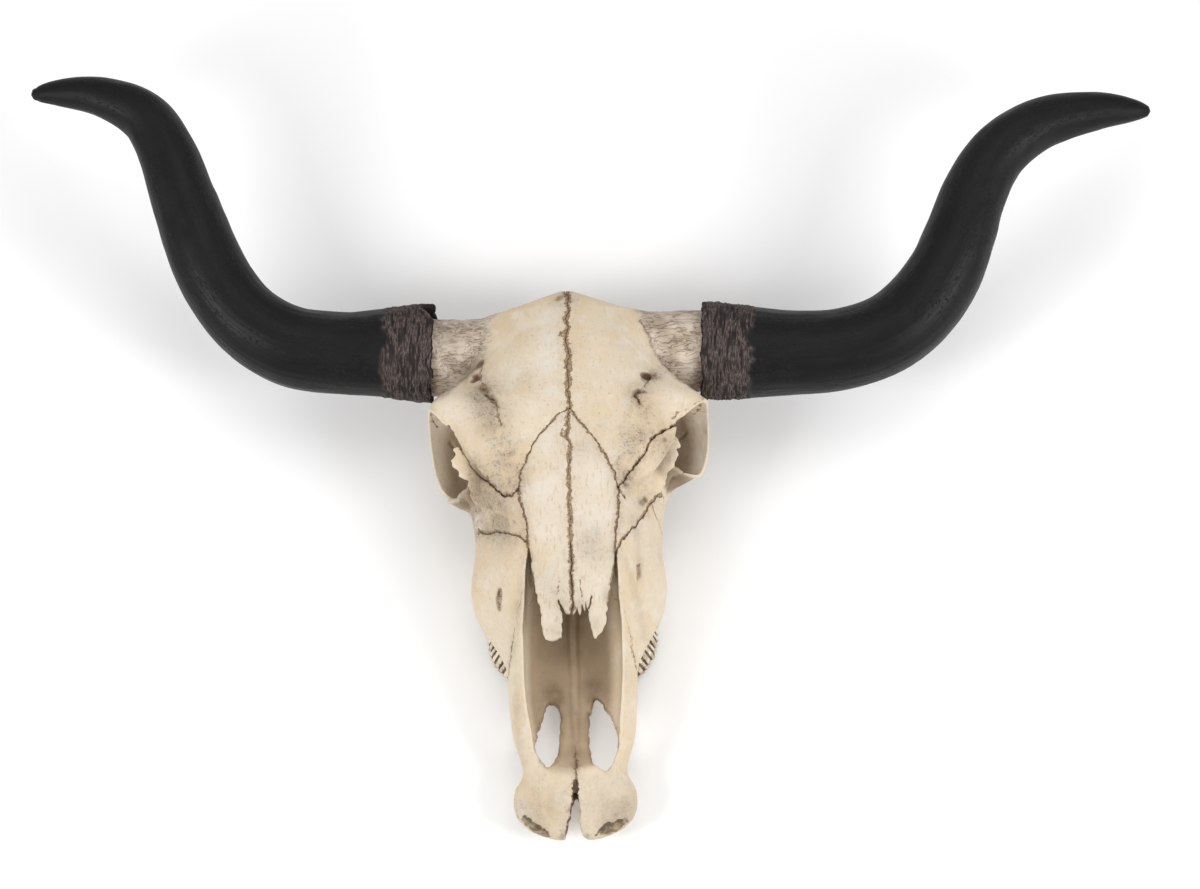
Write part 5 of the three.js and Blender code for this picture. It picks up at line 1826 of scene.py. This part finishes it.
# Nooks darken brown: partly dirt, partly painted shade.
nook_dirt_and_shade = between(t, mask(t, "nook_dirt_and_shade"), 0.15, 0.9, 0.0, 0.75)
nook_dirt_and_shade = times(t, nook_dirt_and_shade, between(t, mid_cloud, 0.3, 0.6, 0.6, 1.0),
             calc(t, "SUBTRACT", 1.0, mask(t, "suture"), clamp=True))
colour = blend(t, times(t, nook_dirt_and_shade, dirt), colour, srgb(118, 90, 62))
# A darker tint with painted shade deep in the nose and the eye sockets.
hollow_tint_and_shade = mask(t, "hollow_tint_and_shade")
hollow_tint_and_shade_colour = blend(t, between(t, wide_cloud, 0.4, 0.65), srgb(164, 140, 110), srgb(142, 120, 94))
colour = blend(t, times(t, hollow_tint_and_shade, 0.80), colour, hollow_tint_and_shade_colour)

# %% [markdown]
# ## Cracks, painted shade and worn edges
#
# A suture is a ragged brown band with a darker crack and a soft halo. Painted shade, partly stain, and
# brown stain come on top, and last the edges rub pale.

# %% Cracks, painted shade and worn edges
halo = times(t, mask(t, "suture_halo"), between(t, fine_cloud, 0.36, 0.62, 0.10, 1.1),
             between(t, mid_cloud, 0.3, 0.6))
colour = blend(t, calc(t, "MULTIPLY", halo, 0.52, clamp=True), colour, srgb(158, 128, 96))
ragged = calc(t, "ADD", sway(t, fine_cloud, 1.5), sway(t, grit, 0.5))
band = between(t, calc(t, "ADD", mask(t, "suture"), ragged), 0.44, 0.56)
band_colour = blend(t, between(t, cloud(t, place, 520.0, 3.0, 0.6), 0.40, 0.60), srgb(168, 145, 116),
                    srgb(126, 100, 74))
colour = blend(t, times(t, band, 0.92), colour, band_colour)
core_of_crack = calc(t, "ADD", mask(t, "crack"), times(t, ragged, 0.8))
colour = stained(t, colour, (66, 42, 28), between(t, core_of_crack, 0.50, 0.66), 0.9)
# Smooth brown-grey painted shade, partly stain.
painted_shade_and_stain = calc(t, "MULTIPLY", mask(t, "painted_shade_and_stain"), between(t, fine_cloud, 0.3, 0.7, 0.75, 1.1), clamp=True)
colour = stained(t, colour, (106, 84, 62), painted_shade_and_stain, 0.72)
brown = between(t, calc(t, "ADD", mask(t, "brown"), sway(t, fine_cloud, 0.8)), 0.22, 0.9)
colour = stained(t, colour, (92, 60, 38), brown, 0.85)
edge = between(t, mask(t, "edge"), 0.35, 0.95, 0.0, 0.45)
colour = blend(t, times(t, edge, calc(t, "SUBTRACT", 1.0, hollow_tint_and_shade)), colour, srgb(240, 228, 206))
colour = blend(t, 1.0, colour, (0.88, 0.88, 0.88, 1), "MULTIPLY")
t.links.new(colour, final["Colour"])
t.links.new(freckle, final["Pores"])
print("old bone colour:", len(t.nodes), "nodes")

# %% [markdown]
# ## How bone feels
#
# Dry bone is matte with a faint polish on high places. Fine pores and a lengthwise grain break the
# light; both are far finer than the mesh, so they are bump.

# %% How bone feels
grain_group, entry, final = new_group("bone grain", [
    ("Place", "NodeSocketVector", None), ("Pores", "NodeSocketFloat", 0.0), ("Grain", "NodeSocketFloat", 1.0),
], [("Height", "NodeSocketFloat"), ("Roughness", "NodeSocketFloat")])
t = grain_group
place = entry["Place"]
fine = cloud(t, place, 420.0, 4.0, 0.6)
lengthwise = cloud(t, stretched(t, place, 1.0, 0.12, 1.0), 700.0, 3.0, 0.6)
lumps = cloud(t, place, 110.0, 2.0, 0.5)
height = calc(t, "ADD", times(t, fine, 0.45), times(t, lengthwise, entry["Grain"], 0.35))
height = calc(t, "ADD", height, times(t, lumps, 0.9))
height = calc(t, "SUBTRACT", height, times(t, entry["Pores"], 0.9))
t.links.new(height, final["Height"])
t.links.new(between(t, lumps, 0.3, 0.7, 0.52, 0.68), final["Roughness"])
print("bone grain:", len(t.nodes), "nodes")

# %% [markdown]
# ## Bone, nasal bone, core and tooth
#
# The skull bones share one material. Where the core mask is set it turns into the grey, worm-eaten
# bone of the horn core, with painted shade in its nooks and patches; where the chip mask is set it turns into
# dark spongy bone, with painted shadow on the upper wall of each chip. The nasals are paler, with a stronger
# grain along them.

# %% Bone, nasal bone, core and tooth
def bone_material(name, clean, warm, pale, grain, dirt, streaks):
    material, t, shader, place = new_material(name)
    # The group's colour holds the stains together with the painted shade.
    stain = use_group(t, stain_and_shade_group, {"Place": place, "Clean": clean, "Warm": warm, "Pale": pale,
                                       "Dirt": dirt,
                                       "Streaks": streaks})
    feel = use_group(t, grain_group, {"Place": place, "Pores": stain["Pores"], "Grain": grain})
    core = between(t, calc(t, "ADD", mask(t, "core"), sway(t, cloud(t, place, 120.0), 0.7)),
                   0.12, 0.88)
    bent = node(t, "ShaderNodeVectorMath", [
        stretched(t, place, 0.30, 1.0, 1.0),
        node(t, "ShaderNodeVectorMath", [
            node(t, "ShaderNodeTexNoise", {"Vector": place, "Scale": 75.0, "Detail": 2.0}, out=1),
            (0.0055,) * 3],
            operation="MULTIPLY")], operation="ADD")
    worm = cloud(t, bent, 230.0, 2.5, 0.5, 0.8)
    worm = calc(t, "ABSOLUTE", calc(t, "SUBTRACT", worm, 0.5))
    furrow = between(t, worm, 0.0, 0.055, 1.0, 0.0)
    core_cloud = cloud(t, place, 38.0, 3.0, 0.6)
    core_colour = blend(t, between(t, core_cloud, 0.38, 0.64), srgb(210, 195, 177), srgb(174, 156, 137))
    core_colour = blend(t, times(t, furrow, between(t, core_cloud, 0.3, 0.6, 0.30, 0.80)), core_colour,
                        srgb(108, 92, 78))
    # The core's nooks darken too: partly dirt, partly painted shade.
    core_colour = blend(t, times(t, mask(t, "nook_dirt_and_shade"), 0.5), core_colour, srgb(84, 68, 56))
    # Painted shade on the core, partly stain.
    core_colour = blend(t, times(t, mask(t, "painted_shade_and_stain"), 0.6), core_colour, srgb(104, 88, 74))
    colour = blend(t, core, stain["Colour"], core_colour)
    spongy = between(t, cloud(t, place, 700.0, 3.0, 0.7), 0.40, 0.60)
    chip_cloud = between(t, cloud(t, stretched(t, place, 0.6, 1.6, 1.0), 150.0, 4.0, 0.65), 0.38, 0.62)
    chip_colour = blend(t, chip_cloud, srgb(112, 92, 66), srgb(170, 154, 128))
    chip_colour = blend(t, times(t, spongy, 0.35), chip_colour, srgb(88, 70, 50))
    # Painted shadow on the upper wall of each chip.
    chip_wall_shadow = between(t, calc(t, "ADD", mask(t, "chip_wall_shadow"), sway(t, chip_cloud, 0.5)), 0.2, 0.9)
    chip_colour = blend(t, times(t, chip_wall_shadow, 0.85), chip_colour, srgb(58, 46, 36))
    chip = mask(t, "chip")
    colour = blend(t, times(t, between(t, chip, 0.25, 0.75), 0.92), colour, chip_colour)
    shader.inputs["Specular IOR Level"].default_value = 0.35
    height = calc(t, "SUBTRACT", feel["Height"], times(t, core, furrow, 1.6))
    height = calc(t, "SUBTRACT", height, times(t, chip, spongy, 0.5))
    bump = node(t, "ShaderNodeBump", {"Strength": 0.5, "Distance": 0.0009, "Height": height})
    t.links.new(colour, shader.inputs["Base Color"])
    t.links.new(feel["Roughness"], shader.inputs["Roughness"])
    t.links.new(bump, shader.inputs["Normal"])
    return material


# %% [markdown]
# ## Two kinds of bone
#
# The nasals are a little paler and more streaked than the rest.

# %% Two kinds of bone
skull_bone = bone_material("skull bone", srgb(226, 210, 186), srgb(224, 201, 166), srgb(234, 223, 205), 0.6,
                           1.0, 0.2)
nasal_bone = bone_material("nasal bone", srgb(223, 209, 188), srgb(218, 197, 166), srgb(230, 220, 206), 1.4,
                           0.8, 0.5)

# %% [markdown]
# ## Tooth
#
# Enamel is pale with brown streaks down the column, and cement fills the furrows with dark.

# %% Tooth
tooth_enamel, t, shader, place = new_material("tooth enamel and cement")
cement_edge = calc(t, "ADD", mask(t, "groove"), sway(t, cloud(t, place, 190.0), 1.5))
cement = between(t, cement_edge, 0.25, 0.8)
cement_colour = blend(t, between(t, cloud(t, place, 130.0), 0.42, 0.60), srgb(58, 48, 38), srgb(112, 90, 64))
enamel = blend(t, between(t, cloud(t, stretched(t, place, 1, 1, 0.2), 260.0), 0.38, 0.62),
               srgb(228, 215, 192), srgb(176, 154, 122))
t.links.new(blend(t, cement, enamel, cement_colour), shader.inputs["Base Color"])
t.links.new(between(t, cement, 0.0, 1.0, 0.32, 0.7), shader.inputs["Roughness"])
tooth_height = cloud(t, stretched(t, place, 1, 1, 0.25), 500.0)
t.links.new(node(t, "ShaderNodeBump", {"Strength": 0.4, "Distance": 0.0006, "Height": tooth_height}),
            shader.inputs["Normal"])

# %% [markdown]
# ## Horn
#
# Horn is a dense mat of fibres that run along it. It is nearly black here, with a satin sheen that
# the fibres break into soft streaks. The frayed collar is browner and dull. Its numbers are read at
# a place that follows the horn, so the fibres bend with it.

# %% Horn
horn_material, t, shader, _ = new_material("dark horn")
horn_at = node(t, "ShaderNodeAttribute", out=1, attribute_name="horn_place")
fibre = cloud(t, stretched(t, horn_at, 0.045, 1.0, 1.0), 520.0, 4.0, 0.6)
broad = cloud(t, stretched(t, horn_at, 0.22, 1.0, 1.0), 46.0, 3.0, 0.55)
specks = cloud(t, horn_at, 620.0, 3.0, 0.6)
frayed = cloud(t, stretched(t, horn_at, 1.0, 0.20, 0.20), 1100.0, 4.0, 0.7, 0.4)
colour = blend(t, between(t, broad, 0.40, 0.64), srgb(9, 9, 10), srgb(15, 15, 16))
colour = blend(t, between(t, fibre, 0.52, 0.72, 0.0, 0.40), colour, srgb(27, 26, 27))
colour = blend(t, between(t, specks, 0.62, 0.72, 0.0, 0.5), colour, srgb(9, 9, 9))
collar = mask(t, "collar")
collar_colour = blend(t, between(t, frayed, 0.38, 0.66), srgb(40, 33, 31), srgb(104, 92, 88))
collar_colour = blend(t, between(t, mask(t, "strand"), 0.22, 0.6), srgb(38, 32, 30), collar_colour)
colour = blend(t, collar, colour, collar_colour)
# Painted shade darkens the inside of the bore and the rim at the mouth.
colour = stained(t, colour, (22, 19, 18), mask(t, "inside"), 0.8)
t.links.new(colour, shader.inputs["Base Color"])
satin = between(t, fibre, 0.3, 0.7, 0.40, 0.54)
t.links.new(calc(t, "ADD", satin, times(t, collar, 0.26), clamp=True), shader.inputs["Roughness"])
pits = between(t, cloud(t, horn_at, 330.0, 3.0, 0.6), 0.56, 0.68)
pitted = times(t, pits, between(t, cloud(t, horn_at, 22.0, 2.0, 0.5), 0.40, 0.56))
height = calc(t, "ADD", times(t, fibre, 0.5), times(t, frayed, collar, 1.6))
height = calc(t, "ADD", height, times(t, specks, 0.35))
height = calc(t, "SUBTRACT", height, times(t, pitted, 1.5))
t.links.new(node(t, "ShaderNodeBump", {"Strength": 0.45, "Distance": 0.0009, "Height": height}),
            shader.inputs["Normal"])
shader.inputs["Specular IOR Level"].default_value = 0.21
print("dark horn:", len(t.nodes), "nodes")

# %% [markdown]
# ## Bone pieces
#
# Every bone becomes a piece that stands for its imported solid. A frontal also stands for the horn
# core that grows out of it.

# %% Bone pieces
pieces = {}
for name, (vertices, faces) in bones.items():
    masks = bone_masks(vertices)
    piece = mesh_object(name + "_bone", vertices, faces, masks)
    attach(piece, "root")
    nodes = [name] + (["horn_core_" + name.split("_")[1]] if name.startswith("frontal") else [])
    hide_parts(*nodes)
    piece.data.materials.append(nasal_bone if name.startswith("nasal") else skull_bone)
    pieces[name] = piece
for piece in tooth_pieces:
    piece.data.materials.append(tooth_enamel)
for piece in sheath_pieces:
    piece.data.materials.append(horn_material)
print("bone pieces made after", round(time.time() - started, 1), "s")

# %% [markdown]
# ## Floor
#
# The skull lies face up on a plain pale floor, large enough to reach past every view.

# %% Floor
FLOOR_REACH = 6.0
floor_mesh = bpy.data.meshes.new("floor")
floor_corners = [(-FLOOR_REACH, -FLOOR_REACH, 0), (FLOOR_REACH, -FLOOR_REACH, 0),
                 (FLOOR_REACH, FLOOR_REACH, 0), (-FLOOR_REACH, FLOOR_REACH, 0)]
floor_mesh.from_pydata(floor_corners, [], [(0, 1, 2, 3)])
floor = bpy.data.objects.new("floor", floor_mesh)
bpy.context.scene.collection.objects.link(floor)
floor_material, t, shader, _ = new_material("pale floor")
shader.inputs["Base Color"].default_value = (0.97, 0.97, 0.97, 1)
shader.inputs["Roughness"].default_value = 0.9
floor_mesh.materials.append(floor_material)
print("floor", 2 * FLOOR_REACH, "m wide")


# %% [markdown]
# ## Camera
#
# The camera looks down from the muzzle side, and is rolled a little, so that the skull stands
# upright in the view.

# %% Camera
ELEVATION = math.radians(72.0)
DISTANCE = 3.0
ROLL = math.radians(1.243)
LENS = 95.745
target = Vector(to_metres([28.9, -144.9, 120.0]))
toward = Vector((0, -math.cos(ELEVATION), math.sin(ELEVATION)))
up = Vector((0, math.sin(ELEVATION), math.cos(ELEVATION)))
right = Vector((1, 0, 0))
turned_right = right * math.cos(ROLL) - up * math.sin(ROLL)
turned_up = right * math.sin(ROLL) + up * math.cos(ROLL)
camera = bpy.data.objects.new("camera", bpy.data.cameras.new("camera"))
camera.data.lens = LENS
camera.data.sensor_fit = "HORIZONTAL"
camera.data.sensor_width = 36.0
camera.matrix_world = Matrix((
    (turned_right.x, turned_up.x, toward.x, 0), (turned_right.y, turned_up.y, toward.y, 0),
    (turned_right.z, turned_up.z, toward.z, 0), (0, 0, 0, 1)))
camera.location = target + toward * DISTANCE
bpy.context.scene.collection.objects.link(camera)
bpy.context.scene.camera = camera
print("camera at", [round(value, 2) for value in camera.location], "m")


# %% [markdown]
# ## Light
#
# Bone shows its form best in soft light: a pale sky, a large box above and one on each side.

# %% Light
def softbox(name, place, size, power, aim=(0, -0.05, 0.1)):
    data = bpy.data.lights.new(name, "AREA")
    data.shape = "RECTANGLE"
    data.size, data.size_y = size
    data.energy = power
    light = bpy.data.objects.new(name, data)
    light.location = place
    light.rotation_euler = (Vector(aim) - Vector(place)).to_track_quat("-Z", "Y").to_euler()
    bpy.context.scene.collection.objects.link(light)


softbox("key", (0.2, 0.8, 2.2), (1.3, 1.3), 9)
softbox("left", (-1.5, -0.8, 1.5), (0.6, 1.0), 21)
softbox("right", (1.6, -0.8, 1.4), (0.6, 1.0), 23)
world = bpy.data.worlds.new("studio")
bpy.context.scene.world = world
world.use_nodes = True
world.node_tree.nodes["Background"].inputs["Color"].default_value = (1, 1, 1, 1)
world.node_tree.nodes["Background"].inputs["Strength"].default_value = 0.56
bpy.context.scene.view_settings.view_transform = "Standard"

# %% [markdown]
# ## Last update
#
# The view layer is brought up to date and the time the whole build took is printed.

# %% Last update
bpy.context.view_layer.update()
print("finished after", round(time.time() - started, 1), "s")
